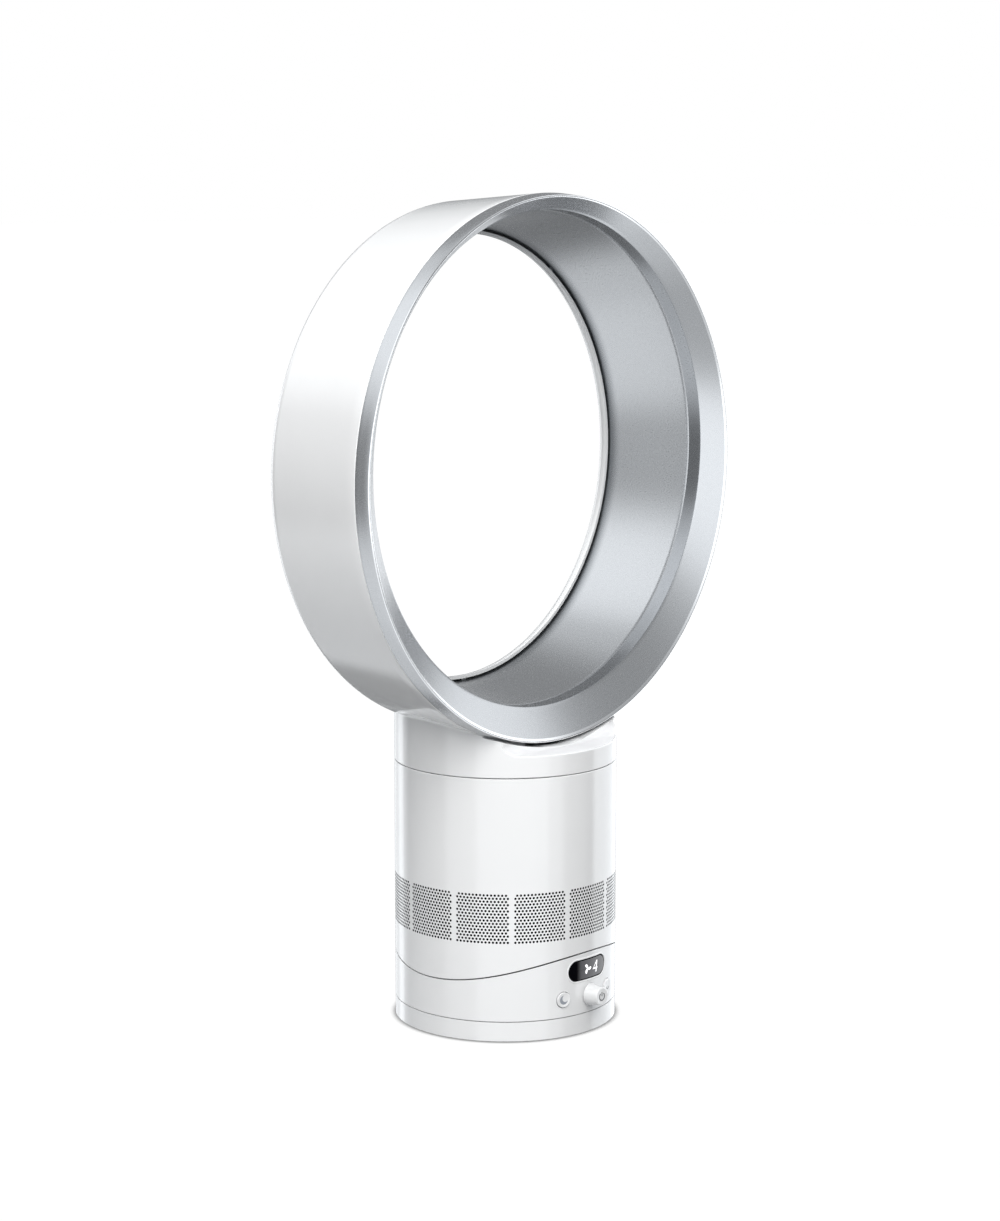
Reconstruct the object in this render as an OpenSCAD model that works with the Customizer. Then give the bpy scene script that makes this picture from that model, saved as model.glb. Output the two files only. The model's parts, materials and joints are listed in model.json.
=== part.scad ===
// Bladeless desk fan: an upright cylinder with the blower inside, under a hollow air ring.
// Origin on the table under the cylinder's axis. The fan blows towards -Y, and +Z is up.

/* [Cylinder] */
// Outside radius of the foot, control base, body and neck
body_r = 73.5; // [70:0.5:78]
// Wall of the moulded casings
wall = 2.5; // [2:0.1:3]
// Visible gap at each seam between two casings
seam = 0.6; // [0.4:0.1:0.8]
// Height of the seam between foot and control base
foot_top_z = 13.4; // [12.8:0.1:14]
// Small assembly gap between pieces of one body
fit = 0.1; // [0.05:0.01:0.15]
// Gap beside a moving piece
running_gap = 0.4; // [0.3:0.05:0.6]
// Radial gap of a shaft in its bearing
bearing_gap = 0.05; // [0.03:0.01:0.08]

/* [Foot] */
// Height that the rubber pads lift the foot plate
pad_proud = 0.6; // [0.4:0.1:1]
// Thickness of a rubber pad
pad_t = 2.2; // [1.8:0.1:2.6]
// Radius of a rubber pad
pad_r = 7; // [5:0.5:9]
// Number of rubber pads around the one in the middle
pad_count = 4; // [3:1:6]
// Floor thickness of the foot plate
foot_floor_t = 3; // [2.8:0.1:3.6]
// Radius of the centre post that the control base turns on
post_r = 12; // [11:0.25:13]
// Radius of the cable passage through the post
post_bore_r = 5.5; // [4.5:0.25:6]
// Distance of the glide ring's middle inside the body's radius
glide_in = 13.5; // [12:0.5:15]
// Width of the glide ring
glide_w = 5; // [4:0.5:6]
// Thickness of the glide ring
glide_t = 2.5; // [2:0.1:3]
// Radius of the retaining plate on the post
retainer_r = 15; // [14.5:0.1:15.4]
// Thickness of the retaining plate
retainer_t = 2; // [1.6:0.1:2.4]

/* [Cable inlet] */
// Bore radius of the cable gland
gland_bore_r = 3.3; // [3:0.1:3.6]
// Wall of the cable gland
gland_wall = 1.4; // [1.2:0.1:1.8]
// Width of the gland's outer flange
gland_flange = 0.9; // [0.7:0.1:1.2]
// Thickness of the gland's outer flange
gland_flange_t = 1; // [0.8:0.1:1.4]
// Length of the gland
gland_len = 8; // [7:0.5:9]
// Height of the cable inlet above the table
gland_z = 7; // [6.8:0.1:7.2]

/* [Swing drive] */
// Pitch radius of the fixed gear
gear_pitch_r = 24; // [22:0.5:25]
// Teeth of the fixed gear in the foot
gear_teeth = 48; // [44:1:52]
// Teeth of the drive pinion
pinion_teeth = 12; // [11:1:14]
// Face width of the fixed gear
gear_t = 5; // [4:0.25:5.5]
// Backlash of the gear pair at the pitch circle
backlash = 0.3; // [0.2:0.05:0.4]
// Radius of the pinion shaft
pinion_shaft_r = 2.5; // [2:0.25:3]
// Radius of the swing motor's can
swing_motor_r = 14; // [12.5:0.25:14.25]
// Height of the swing motor's can
swing_motor_h = 13; // [11:0.5:15]

/* [Control base] */
// Height of the curved tilt seam's lowest line above the foot's seam
deck_rise = 25; // [24.4:0.1:25.6]
// Radius of the curved tilt seam around the tilt axis
tilt_r = 180; // [178:0.5:182]
// Thickness of the curved deck that carries the body
deck_t = 2.5; // [2:0.1:2.8]
// Thickness of the chassis plate
chassis_t = 3; // [2.6:0.1:3.4]
// Outside radius of the chassis hub
hub_r = 15.5; // [15:0.1:15.8]
// Height of the chassis hub above the plate
hub_h = 3.5; // [3:0.25:4]
// Radius of the screw bosses in the control base
boss_r = 4.2; // [4:0.1:4.4]
// Distance of the screw bosses' axes inside the casing
boss_inset = 3.6; // [3.3:0.1:3.9]
// Shank radius of the case screws
screw_r = 1.5; // [1.3:0.1:1.7]
// Head radius of the case screws
screw_head_r = 2.7; // [2.5:0.1:2.9]
// Head height of the case screws
screw_head_h = 1.4; // [1.2:0.1:1.6]
// Length of the case screws under the head
screw_len = 8; // [7:0.5:9]

/* [Controls] */
// Width of the display window
window_w = 36.7; // [34:0.1:39]
// Height of the display window
window_h = 14; // [12:0.25:15]
// Height of the window's middle above the foot's seam
window_rise = 29.2; // [28.8:0.1:29.6]
// Height of the dial's axis above the foot's seam
dial_rise = 12.2; // [11.8:0.1:12.8]
// Radius of the dial knob at its base
dial_base_r = 7.3; // [6.5:0.1:8]
// Radius of the dial knob's face
dial_face_r = 6; // [5.4:0.1:6.4]
// Length of the dial knob
dial_len = 10; // [9:0.5:11]
// Gap between the dial knob and the casing
dial_gap = 1.2; // [1.1:0.1:1.6]
// Radius of the dial knob's stem
dial_stem_r = 4.5; // [4.25:0.25:5]
// Radius of the spindle that the dial knob turns on
spindle_r = 2.5; // [2:0.1:2.8]
// Travel of the dial when it is pressed
dial_travel = 0.8; // [0.6:0.1:1]
// Radius of the two push buttons
button_r = 5; // [4.5:0.1:5.4]
// Angle of the push buttons to either side of the dial
button_angle = 17.3; // [16.8:0.1:18]
// Height of the push buttons' axes above the foot's seam
button_rise = 12; // [11.8:0.1:12.6]
// Height of a push button above the casing
button_proud = 0.9; // [0.85:0.05:1.2]
// Travel of the push buttons
button_travel = 0.8; // [0.5:0.05:0.8]
// Thickness of the circuit boards
board_t = 1.6; // [1.2:0.1:1.8]
// Distance of the upright control board inside the body's radius
board_in = 13.5; // [13:0.25:14.5]
// Half width of the control board
board_half_w = 30; // [28:0.5:32]
// Side of the square dial encoder
encoder_w = 12; // [11:0.5:13]
// Side of a button's switch
switch_w = 6; // [5:0.5:7]
// Height of a button's switch
switch_t = 3.2; // [2.8:0.1:3.4]
// Depth of the display module behind the window
module_deep = 4.4; // [4:0.1:4.8]
// Distance of the power board's sides inside the body's radius
power_side_in = 35.7; // [34.5:0.1:38.5]
// Distance of the power board's near edge in front of the axis
power_near_y = 21; // [20:0.5:23]
// Distance of the power board's far edge inside the body's radius
power_front_in = 22.5; // [20.5:0.5:25.5]
// Height of the posts under the circuit boards
standoff_h = 2; // [1.5:0.25:2.5]
// Radius of the posts under the circuit boards
standoff_r = 3; // [2.5:0.25:3.5]
// Half size of the driver board across the fan
driver_half_x = 32; // [30:0.5:33]
// Half size of the driver board along the fan
driver_half_y = 26; // [24:0.5:27]

/* [Tilt slide] */
// Thickness of the curved bottom of the body
shoe_t = 4; // [3.6:0.1:4.4]
// Distance of each tilt rail from the middle
rail_x = 30; // [28:0.5:32]
// Thickness of a tilt rail's web
rail_web = 5; // [4.5:0.25:5.5]
// Half length of a tilt rail
rail_half = 18; // [15:0.5:20]
// Tilt to either side, for which the deck's slots leave room
tilt_angle = 10; // [8:0.5:10.5]
// Thickness of the keepers under the deck
keeper_t = 2.5; // [2:0.1:3]
// Width of a keeper
keeper_w = 12; // [10:0.5:14]
// Width of a glide pad in the deck
glide_pad_w = 8; // [6:0.5:10]
// Length of a glide pad in the deck
glide_pad_len = 30; // [24:1:36]

/* [Body] */
// Number of inlet panels around the body
panel_count = 12; // [10:1:14]
// Width of the bars between inlet panels, as an angle
panel_bar_angle = 3; // [2:0.25:4]
// Height of the inlet panels' lower edge above the tilt seam's lowest line
panel_rise = 26.8; // [26:0.2:27.6]
// Height of the inlet panels
panel_h = 33.2; // [31.8:0.2:34]
// Rows of holes in an inlet panel
hole_rows = 6; // [5:1:7]
// Columns of holes in an inlet panel
hole_columns = 6; // [5:1:7]
// Radius of an inlet hole
hole_r = 1.7; // [1.4:0.1:1.9]
// Thickness of the inlet band behind the casing
band_t = 1; // [0.8:0.1:1.4]
// Height by which the inlet band laps the casing above and below the panels
band_lap = 3; // [2:0.5:4]
// Thickness of the foam ring under the inlet
foam_t = 5; // [4:0.5:6]
// Width of the foam ring
foam_w = 25.6; // [21.6:0.5:26.6]
// Width of the ledges inside the casing
ledge_in = 3; // [2.5:0.25:3.5]
// Thickness of the ledges inside the casing
ledge_t = 2; // [1.6:0.2:2.4]
// Clear height under the driver board
driver_rise = 4; // [3:0.5:5]

/* [Blower] */
// Height of the blower's lower edge above the inlet panels
inlet_rise = 5.1; // [4.6:0.1:6]
// Distance of the duct above the impeller inside the body's radius
duct_in = 13.5; // [13:0.25:15.5]
// Distance of the blower's inlet inside the duct's radius
inlet_in = 16; // [14:0.5:18]
// Wall of the impeller housing
housing_wall = 1.8; // [1.4:0.1:2]
// Height over which the housing widens
housing_cone_h = 30; // [28:0.5:32]
// Number of impeller blades
blade_count = 9; // [7:1:11]
// Thickness of an impeller blade
blade_t = 1.6; // [1.2:0.1:2]
// Lean of the impeller blades
blade_lean = 38; // [30:1:45]
// Distance of the impeller hub's rim inside the motor bucket's radius
hub_in = 2; // [1:0.25:4]
// Radius of the impeller hub at its nose
impeller_nose_r = 11; // [9:0.5:13]
// Radius of the rotor shaft
shaft_r = 3; // [2.5:0.1:3.5]
// Width of the duct around the motor bucket
duct_w = 16; // [14:0.25:16.5]
// Height of the motor bucket
bucket_h = 23.9; // [23.4:0.1:24.4]
// Wall of the motor bucket
bucket_wall = 2; // [1.6:0.1:2.4]
// Distance of the motor's stator inside the motor bucket's radius
stator_in = 14; // [12:0.5:16]
// Radius of the rotor magnet
magnet_r = 14; // [12:0.5:16]
// Outside radius of the ball bearings
ball_bearing_r = 8; // [7:0.25:8.5]
// Width of the ball bearings
ball_bearing_w = 5; // [4:0.25:5.5]
// Number of diffuser vanes
vane_count = 11; // [9:1:13]
// Wall of the diffuser's two rings
diffuser_ring = 1.5; // [1.2:0.1:1.8]
// Height of the diffuser
diffuser_h = 13; // [11:0.5:14]
// Running gap between impeller and housing
blade_gap = 0.8; // [0.6:0.1:1]
// Height of the lower half of the motor bucket
bucket_split = 14; // [12:0.5:15]
// Wall around a ball bearing's seat
seat_wall = 1.6; // [1.4:0.1:2]
// Height of the impeller's nut
nut_t = 4; // [3:0.25:4.5]
// Radius of the impeller's nut across its corners
nut_r = 6; // [5.5:0.25:7]

/* [Neck lock] */
// Angle through which the ring turns to unlock
lock_angle = 25; // [22:1:28]
// Number of lugs on the neck
lug_count = 3; // [3:1:4]
// Width of a lug, as an angle
lug_angle = 18; // [14:1:20]
// Thickness of a lug
lug_t = 3.4; // [3:0.1:3.6]
// Wall of the neck's skirt
skirt_wall = 2.2; // [2:0.1:2.4]
// Distance of the skirt inside the casing
skirt_inset = 5; // [4.8:0.1:5.4]
// Thickness of the bayonet ring's floor
bayonet_floor_t = 2; // [1.6:0.1:2.4]
// Thickness of the bayonet ring's lip
bayonet_lip_t = 2.4; // [2:0.1:2.6]
// Thickness of the neck seal
neck_seal_t = 1; // [0.8:0.1:1.2]

/* [Air ring] */
// Height of the ring's lowest point above the neck's seam
ring_rise = 15.75; // [15.25:0.25:16.75]
// Radius of the ring at the joint of casing and trim
ring_r = 177; // [174:0.5:180]
// Taper of the casing from the joint to the rear corner, on the radius
ring_taper = 5; // [4:0.25:6]
// Distance of the trim's joint in front of the cylinder's axis
trim_joint = 37.25; // [36:0.25:39]
// Distance of the ring's front edge in front of the cylinder's axis
ring_front = 48; // [47:0.25:49]
// Distance of the ring's rear face behind the cylinder's axis
ring_rear = 47.2; // [46:0.2:48]
// Radius of the rear outer corner
corner_r = 11.5; // [10:0.5:12]
// Wall of the rear casing
ring_wall = 2.2; // [2:0.1:2.4]
// Distance of the trim's front crest inside the ring's radius
crest_in = 2; // [1.5:0.25:3]
// Height of the inner circles' axis above the ring's outer axis, at the front
nozzle_rise = 6.4; // [5.5:0.1:7]
// Height of the rear lip's axis above the ring's outer axis
lip_rise = 4.1; // [3.6:0.1:4.4]
// Distance of the second band, inside the flare, from the ring's radius
band_in = 17; // [16:0.25:18.5]
// Distance of the flare's inner edge in front of the cylinder's axis
flare_edge = 36.3; // [35:0.25:38]
// Distance of the second band's rear edge in front of the cylinder's axis
band_edge = 26.4; // [25:0.25:28]
// Wall of the silver trim
trim_wall = 2; // [1.6:0.1:2.2]
// Distance of the rolled rear lip's middle from the ring's radius
lip_in = 20.6; // [20:0.1:21]
// Distance of the rolled lip's middle behind the cylinder's axis
lip_y = 37.2; // [36.6:0.1:38]
// Width of the air slot
slot_w = 1.3; // [1:0.1:1.6]
// Number of spacers in the air slot
spacer_count = 10; // [8:1:12]

/* [Neck] */
// Height of the neck's seam above the blower's housing
neck_rise = 10.75; // [10.25:0.25:11.5]
// Height of the shelf under the front of the trim above the neck's seam
shelf_rise = 14.45; // [13.65:0.1:15.05]
// Radius of the fillet behind the shelf
shelf_fillet = 9; // [7:0.5:10]
// Dark gap between the neck and the trim
trim_gap = 1; // [0.8:0.1:1.4]
// Distance of the air passage's sides inside the body's radius
throat_side_in = 27.5; // [25.5:0.5:31.5]
// Front and rear ends of the air passage from the axis
throat_y = 28; // [25:0.5:30]
// Half width of the wedge that parts the air stream
divider_half_w = 9; // [7:0.5:11]
// Height of the wedge that parts the air stream
divider_h = 12; // [10:0.5:14]

/* [Hidden] */

// Smoothness of large and small round pieces, and of the blended surfaces
large_fn = 128;
small_fn = 40;
blend_fn = 96;
hole_fn = 16;
// Overrun of a cutting tool past the surface that it cuts
over = 1;
// Least wall that holds a small part
thin = 0.8;

// Radii and widths that follow the body's radius
inner_r = body_r - wall;
glide_mid_r = body_r - glide_in;
board_y = body_r - board_in;
power_half_x = body_r - power_side_in;
power_far_y = body_r - power_front_in;
throat_x = body_r - throat_side_in;
duct_r = body_r - duct_in;
inlet_r = duct_r - inlet_in;
bucket_r = duct_r - duct_w;
impeller_hub_r = bucket_r - hub_in;
stator_r = bucket_r - stator_in;

// Heights from the foot up to the blower
tilt_low_z = foot_top_z + deck_rise;
tilt_axis_z = tilt_low_z + tilt_r;
window_z = foot_top_z + window_rise;
dial_z = foot_top_z + dial_rise;
button_z = foot_top_z + button_rise;
panel_z0 = tilt_low_z + panel_rise;
panel_z1 = panel_z0 + panel_h;
inlet_z = panel_z1 + inlet_rise;

// Heights in the foot
floor_z = pad_proud + foot_floor_t;
foot_edge_z = foot_top_z - seam / 2;
chassis_z = foot_top_z + seam / 2;
glide_z = chassis_z - glide_t - bearing_gap;
chassis_top_z = chassis_z + chassis_t;
hub_top_z = chassis_top_z + hub_h;
gland_r = gland_bore_r + gland_wall;
post_top_z = hub_top_z + running_gap;

// Swing gears: centre distance, and pitch and tip sizes
gear_module = 2 * gear_pitch_r / gear_teeth;
pinion_pitch_r = gear_module * pinion_teeth / 2;
gear_distance = gear_pitch_r + pinion_pitch_r;
gear_bore_r = post_r + fit;
gear_screw_count = 3;
gear_screw_mid_r = (gear_bore_r + gear_pitch_r) / 2;
gear_top_z = floor_z + gear_t;
post_screw_mid_r = (post_bore_r + post_r) / 2;
post_screw_share = 0.17;
post_screw_r = (post_r - post_bore_r) * post_screw_share;
pinion_z = floor_z + running_gap;
shaft_top_z = chassis_top_z + swing_motor_h - 2 * over;
ear_x = swing_motor_r + screw_head_r + fit;
ear_r = screw_head_r + fit;
ear_t = retainer_t;

// Tilt surfaces: radii around the tilt axis
deck_r = tilt_r + seam / 2;
deck_under_r = deck_r + deck_t;
shoe_r = tilt_r - seam / 2;
shoe_top_r = shoe_r - shoe_t;
rail_bottom_r = deck_under_r + running_gap;
keeper_r = rail_bottom_r + keeper_t;
slot_half_w = rail_web / 2 + running_gap;
slot_half = rail_half + deck_r * sin(tilt_angle) + running_gap;
rail_screw_y = rail_half / 2;
glide_pad_x = rail_x + keeper_w + glide_pad_w;
glide_pad_r = deck_r + deck_t / 2;

// Case screws in the control base and in the body's bottom
case_screw_count = 4;
case_screw_turn = 45;
boss_mid_r = inner_r - boss_inset;
boss_y = boss_mid_r * sin(case_screw_turn);
foam_z = tilt_height(shoe_top_r, inner_r) + running_gap;
foam_out_r = inner_r - band_t - running_gap;
foam_in_r = foam_out_r - foam_w;
body_boss_z = tilt_height(shoe_top_r, boss_y + boss_r) + fit;
shoe_head_z = tilt_height(shoe_r, boss_y + screw_head_r) + fit;

// Controls
board_back_y = board_y - board_t;
board_top_z = tilt_height(deck_under_r, board_back_y) - running_gap;
encoder_front_y = inner_r - 3 * running_gap;
dial_base_y = body_r + dial_gap;
spindle_share = 0.6;
spindle_end_y = dial_base_y + dial_len * spindle_share;
stem_inner_y = encoder_front_y + dial_travel + running_gap;
button_flange_r = button_r + running_gap + thin;
button_flange_y = inner_r - 2 * thin;
stem_share = 0.4;
button_stem_r = button_r * stem_share;
button_inner_r = (board_y + switch_t + button_travel + running_gap) / cos(button_angle)
    + button_stem_r * tan(button_angle);
module_h_share = 0.5;
module_h = window_h * module_h_share;
module_w = window_w - window_h / 2;
module_front_y = inner_r - wall;
module_y = module_front_y - module_deep;
module_foot_share = 0.6;
pilot_share = 1.5;
swing_pilot_r = pinion_pitch_r + pilot_share * gear_module;
standoff_inset = standoff_r + thin;
power_y = [-power_far_y + standoff_inset, -power_near_y - standoff_inset];
driver_board_z = tilt_height(shoe_top_r, driver_half_y) + driver_rise;
// Parts on the boards: place across and along the board, radius and height
power_part_shares = [[-0.7, 0.3, 1.6, 5], [-0.25, 0.7, 1.2, 4], [0.2, 0.2, 1.4, 4], [0.65, 0.6, 1.8, 3]];
driver_part_shares = [[-0.7, 0.4, 2, 3], [0, -0.5, 1.5, 2], [0.6, 0.3, 1.8, 2.5]];

// Body
seal_t = ledge_t;
flange_z = inlet_z + seal_t;
flange_t = ledge_t;
housing_r = duct_r + housing_wall;
cone_z0 = flange_z + flange_t;
cone_z1 = cone_z0 + housing_cone_h;
panel_pitch = 360 / panel_count;
panel_angle = panel_pitch - panel_bar_angle;
panel_gap_angle = 0.15;
row_shift_share = 0.5;
panel_mid_z = (panel_z0 + panel_z1) / 2;
hole_pitch_z = (panel_z1 - panel_z0) / hole_rows;
hole_pitch_angle = panel_angle / (hole_columns + row_shift_share);

// Blower
impeller_z0 = cone_z0 + blade_gap;
impeller_z1 = cone_z1 - blade_gap;
bucket_z = impeller_z1 + 2 * blade_gap;
bucket_split_z = bucket_z + bucket_split;
bucket_top_z = bucket_z + bucket_h;
housing_top_z = bucket_top_z + blade_gap;
bearing_seat_r = ball_bearing_r + seat_wall;
upper_bearing_z = bucket_top_z - bucket_wall - ball_bearing_w;
stator_z = bucket_z + bucket_wall + ball_bearing_w / 2;
stator_h = bucket_top_z - bucket_wall - running_gap - stator_z;
stator_bore_r = magnet_r + blade_gap;
magnet_z0 = bucket_z + ball_bearing_w + blade_gap;
magnet_z1 = upper_bearing_z - seat_wall - blade_gap;
shaft_z0 = impeller_z0 - nut_t - 2 * thin;
shaft_z1 = upper_bearing_z + ball_bearing_w - running_gap;
diffuser_z = bucket_z + nut_t;
dome_r = bucket_r - 2 * ball_bearing_w;

// Neck lock
neck_z = housing_top_z + neck_rise;
casing_top_z = neck_z - seam / 2;
skirt_out_r = inner_r - skirt_inset;
lug_out_r = skirt_out_r + skirt_inset / 2;
bayonet_z = housing_top_z - bayonet_floor_t;
bayonet_floor_z = bayonet_z + bayonet_floor_t;
skirt_z = bayonet_floor_z + neck_seal_t + running_gap;
lug_z = skirt_z + running_gap;
bayonet_lip_z = lug_z + lug_t + running_gap;
lug_slack_angle = 2;
lock_gap_angle = lug_angle + lug_slack_angle;
collar_z = neck_z + seam / 2;
shelf_z = neck_z + shelf_rise;
ring_z = neck_z + ring_rise + ring_r;
collar_top_z = ring_z - sqrt(ring_r * ring_r - body_r * body_r) + wall;

// Air ring: radii, and the axes of the outer, front and rear circles
ring_rear_r = ring_r - ring_taper;
crest_r = ring_r - crest_in;
band_r = ring_r - band_in;
lip_mid_r = ring_r - lip_in;
nozzle_z = ring_z + nozzle_rise;
lip_z = ring_z + lip_rise;
lip_r = ring_rear - lip_y;
nose_r = lip_r - ring_wall - slot_w;
corner_mid_r = ring_rear_r - corner_r;
corner_y = ring_rear - corner_r;
coanda_rear_r = lip_mid_r - nose_r;
lip_in_r = lip_mid_r - lip_r + ring_wall;
lip_tip_angle = 185;
throat_top_z = ring_z - sqrt(ring_rear_r * ring_rear_r - throat_x * throat_x) + 2 * ring_wall;
crest_share = 1.3;
trim_cavity_y = -ring_front + crest_share * trim_wall;
flare_cavity_y = -flare_edge + crest_share * trim_wall;
arc_steps = 12;
pressure_angle = 20;
addendum_share = 0.9;
dedendum_share = 1.25;

// Shapes used by several pieces

// Points of an arc in a section
function arc(centre_r, centre_y, r, from, to, steps = arc_steps) =
    [for (i = [0:steps]) let (a = from + (to - from) * i / steps)
        [centre_r + r * cos(a), centre_y + r * sin(a)]];

// Height of a cylinder around the tilt axis, at a distance y from the middle
function tilt_height(r, y) = tilt_axis_z - sqrt(r * r - y * y);

// A solid cylinder around the tilt axis, right across the part
module tilt_cylinder(r) {
    translate([-body_r - over, 0, tilt_axis_z])
        rotate([0, 90, 0]) cylinder(r = r, h = 2 * (body_r + over), $fn = large_fn);
}

// A slice of the curved deck region between two radii, limited in x and y
module tilt_slab(r_in, r_out, half_x, half_y) {
    intersection() {
        difference() {
            tilt_cylinder(r_out);
            tilt_cylinder(r_in);
        }
        translate([-half_x, -half_y, 0]) cube([2 * half_x, 2 * half_y, tilt_axis_z - r_in / 2]);
    }
}

// A ring or tube standing on the XY plane
module tube(r_out, r_in, h, fn = large_fn) {
    difference() {
        cylinder(r = r_out, h = h, $fn = fn);
        translate([0, 0, -over]) cylinder(r = r_in, h = h + 2 * over, $fn = fn);
    }
}

// Places its child along +Y, turned around an axis at height z
module along_y(z) {
    translate([0, 0, z]) rotate([-90, 0, 0]) children();
}

// A disc whose axis runs along Y, from y0 to y1
module y_disc(r, y0, y1, z, fn = large_fn) {
    translate([0, y0, z]) rotate([-90, 0, 0]) cylinder(r = r, h = y1 - y0, $fn = fn);
}

// A revolved section around an axis along Y, where points are [radius, y]
module y_turn(points, z) {
    along_y(z) rotate_extrude($fn = large_fn) polygon(points);
}

// Places its child at a count of equal steps around the axis
module around(count, r, start = 0) {
    for (i = [0:count - 1])
        rotate([0, 0, start + i * 360 / count]) translate([r, 0, 0]) children();
}

// A pan head screw pointing up, with the underside of its head at z = 0
module screw(r, head_r, head_h, length) {
    translate([0, 0, -head_h]) cylinder(r = head_r, h = head_h, $fn = small_fn);
    cylinder(r = r, h = length, $fn = small_fn);
}

// Points of an involute gear outline
function involute(base_r, a) = [
    base_r * (cos(a) + a * PI / 180 * sin(a)),
    base_r * (sin(a) - a * PI / 180 * cos(a))
];
function turned(p, a) = [p[0] * cos(a) - p[1] * sin(a), p[0] * sin(a) + p[1] * cos(a)];
function roll_to(base_r, r) = sqrt(max(0, r * r / (base_r * base_r) - 1)) * 180 / PI;
function polar_angle(p) = atan2(p[1], p[0]);
function flank(base_r, root_r, tip_r, steps = 5) =
    [for (i = [0:steps])
        involute(base_r, roll_to(base_r, max(base_r, root_r) + (tip_r - max(base_r, root_r)) * i / steps))];
function tooth(teeth) =
    let (pitch_r = gear_module * teeth / 2,
        base_r = pitch_r * cos(pressure_angle),
        root_r = pitch_r - dedendum_share * gear_module,
        tip_r = pitch_r + addendum_share * gear_module,
        side = flank(base_r, root_r, tip_r),
        at_pitch = polar_angle(involute(base_r, roll_to(base_r, pitch_r))),
        half = 90 / teeth - backlash / 4 / pitch_r * 180 / PI,
        right = [for (p = side) turned(p, -at_pitch - half)],
        left = [for (i = [len(side) - 1:-1:0]) turned([side[i][0], -side[i][1]], at_pitch + half)])
    concat([turned([root_r, 0], polar_angle(right[0]))], right, left,
        [turned([root_r, 0], polar_angle(left[len(left) - 1]))]);
function gear_points(teeth) =
    [for (k = [0:teeth - 1]) for (p = tooth(teeth)) turned(p, 360 * k / teeth)];

// Foot: stands on the table and carries the turning base

module foot_plate() {
    color("white") difference() {
        union() {
            translate([0, 0, pad_proud])
                tube(body_r, inner_r, foot_edge_z - pad_proud);
            translate([0, 0, pad_proud]) cylinder(r = inner_r + over, h = foot_floor_t, $fn = large_fn);
            translate([0, 0, pad_proud])
                tube(glide_mid_r + glide_w / 2, glide_mid_r - glide_w / 2, glide_z - pad_proud);
            translate([0, 0, pad_proud]) cylinder(r = post_r, h = post_top_z - pad_proud, $fn = large_fn);
        }
        translate([0, 0, floor_z]) cylinder(r = post_bore_r, h = post_top_z, $fn = large_fn);
        translate([-post_bore_r / 2, 0, gear_top_z + fit])
            cube([post_bore_r, post_r + over, chassis_z - gear_top_z - fit]);
        cylinder(r = pad_r + fit, h = pad_t, $fn = small_fn);
        around(pad_count, glide_mid_r, case_screw_turn)
            cylinder(r = pad_r + fit, h = pad_t, $fn = small_fn);
        around(gear_screw_count, gear_screw_mid_r)
            translate([0, 0, floor_z - foot_floor_t / 2])
                cylinder(r = screw_r, h = floor_z, $fn = small_fn);
        around(gear_screw_count, post_screw_mid_r)
            translate([0, 0, post_top_z - screw_len])
                cylinder(r = post_screw_r, h = screw_len + over, $fn = small_fn);
        y_disc(gland_r, inner_r - 2 * wall, body_r + over, gland_z, small_fn);
        y_disc(gland_bore_r, glide_mid_r - glide_w, body_r, gland_z, small_fn);
    }
}

module foot_pads() {
    color("dimgray") {
        cylinder(r = pad_r, h = pad_t, $fn = small_fn);
        around(pad_count, glide_mid_r, case_screw_turn) cylinder(r = pad_r, h = pad_t, $fn = small_fn);
    }
}

module glide_ring() {
    color("ivory") translate([0, 0, glide_z])
        tube(glide_mid_r + glide_w / 2, glide_mid_r - glide_w / 2, glide_t);
}

module swing_gear() {
    color("beige") translate([0, 0, floor_z]) difference() {
        rotate([0, 0, 90]) linear_extrude(gear_t) polygon(gear_points(gear_teeth));
        translate([0, 0, -over]) cylinder(r = gear_bore_r, h = gear_t + 2 * over, $fn = large_fn);
        around(gear_screw_count, gear_screw_mid_r) {
            translate([0, 0, -over]) cylinder(r = screw_r, h = gear_t + 2 * over, $fn = small_fn);
            translate([0, 0, gear_t - screw_head_h])
                cylinder(r = screw_head_r + fit, h = screw_head_h + over, $fn = small_fn);
        }
    }
}

module gear_screws() {
    color("silver") {
        around(gear_screw_count, gear_screw_mid_r)
            translate([0, 0, floor_z + gear_t - screw_head_h]) mirror([0, 0, 1])
                screw(screw_r, screw_head_r, screw_head_h, gear_t - screw_head_h + foot_floor_t / 2);
        around(gear_screw_count, post_screw_mid_r)
            translate([0, 0, post_top_z + retainer_t]) mirror([0, 0, 1])
                screw(post_screw_r, screw_head_r, screw_head_h, screw_len);
    }
}

module retaining_plate() {
    color("silver") translate([0, 0, post_top_z]) difference() {
        cylinder(r = retainer_r, h = retainer_t, $fn = large_fn);
        translate([0, 0, -over]) cylinder(r = post_bore_r, h = retainer_t + 2 * over, $fn = large_fn);
        around(gear_screw_count, post_screw_mid_r)
            translate([0, 0, -over]) cylinder(r = post_screw_r, h = retainer_t + 2 * over, $fn = small_fn);
    }
}

module cable_gland() {
    color("dimgray") difference() {
        union() {
            y_disc(gland_r, body_r + gland_flange_t - gland_len, body_r, gland_z, small_fn);
            y_disc(gland_r + gland_flange, body_r, body_r + gland_flange_t, gland_z, small_fn);
        }
        y_disc(gland_bore_r, body_r - gland_len, body_r + gland_flange_t + over, gland_z, small_fn);
    }
}

// Control base: turns on the foot, and carries the controls and the tilting body

module stadium(width, height) {
    square([width - height, height], center = true);
    for (side = [-1, 1]) translate([side * (width - height) / 2, 0]) circle(r = height / 2, $fn = small_fn);
}

// A cut or plug through the front wall, from y0 to y1 in front of the axis
module front_plug(y0, y1) {
    rotate([90, 0, 0]) translate([0, 0, y0]) linear_extrude(y1 - y0) children();
}

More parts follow.
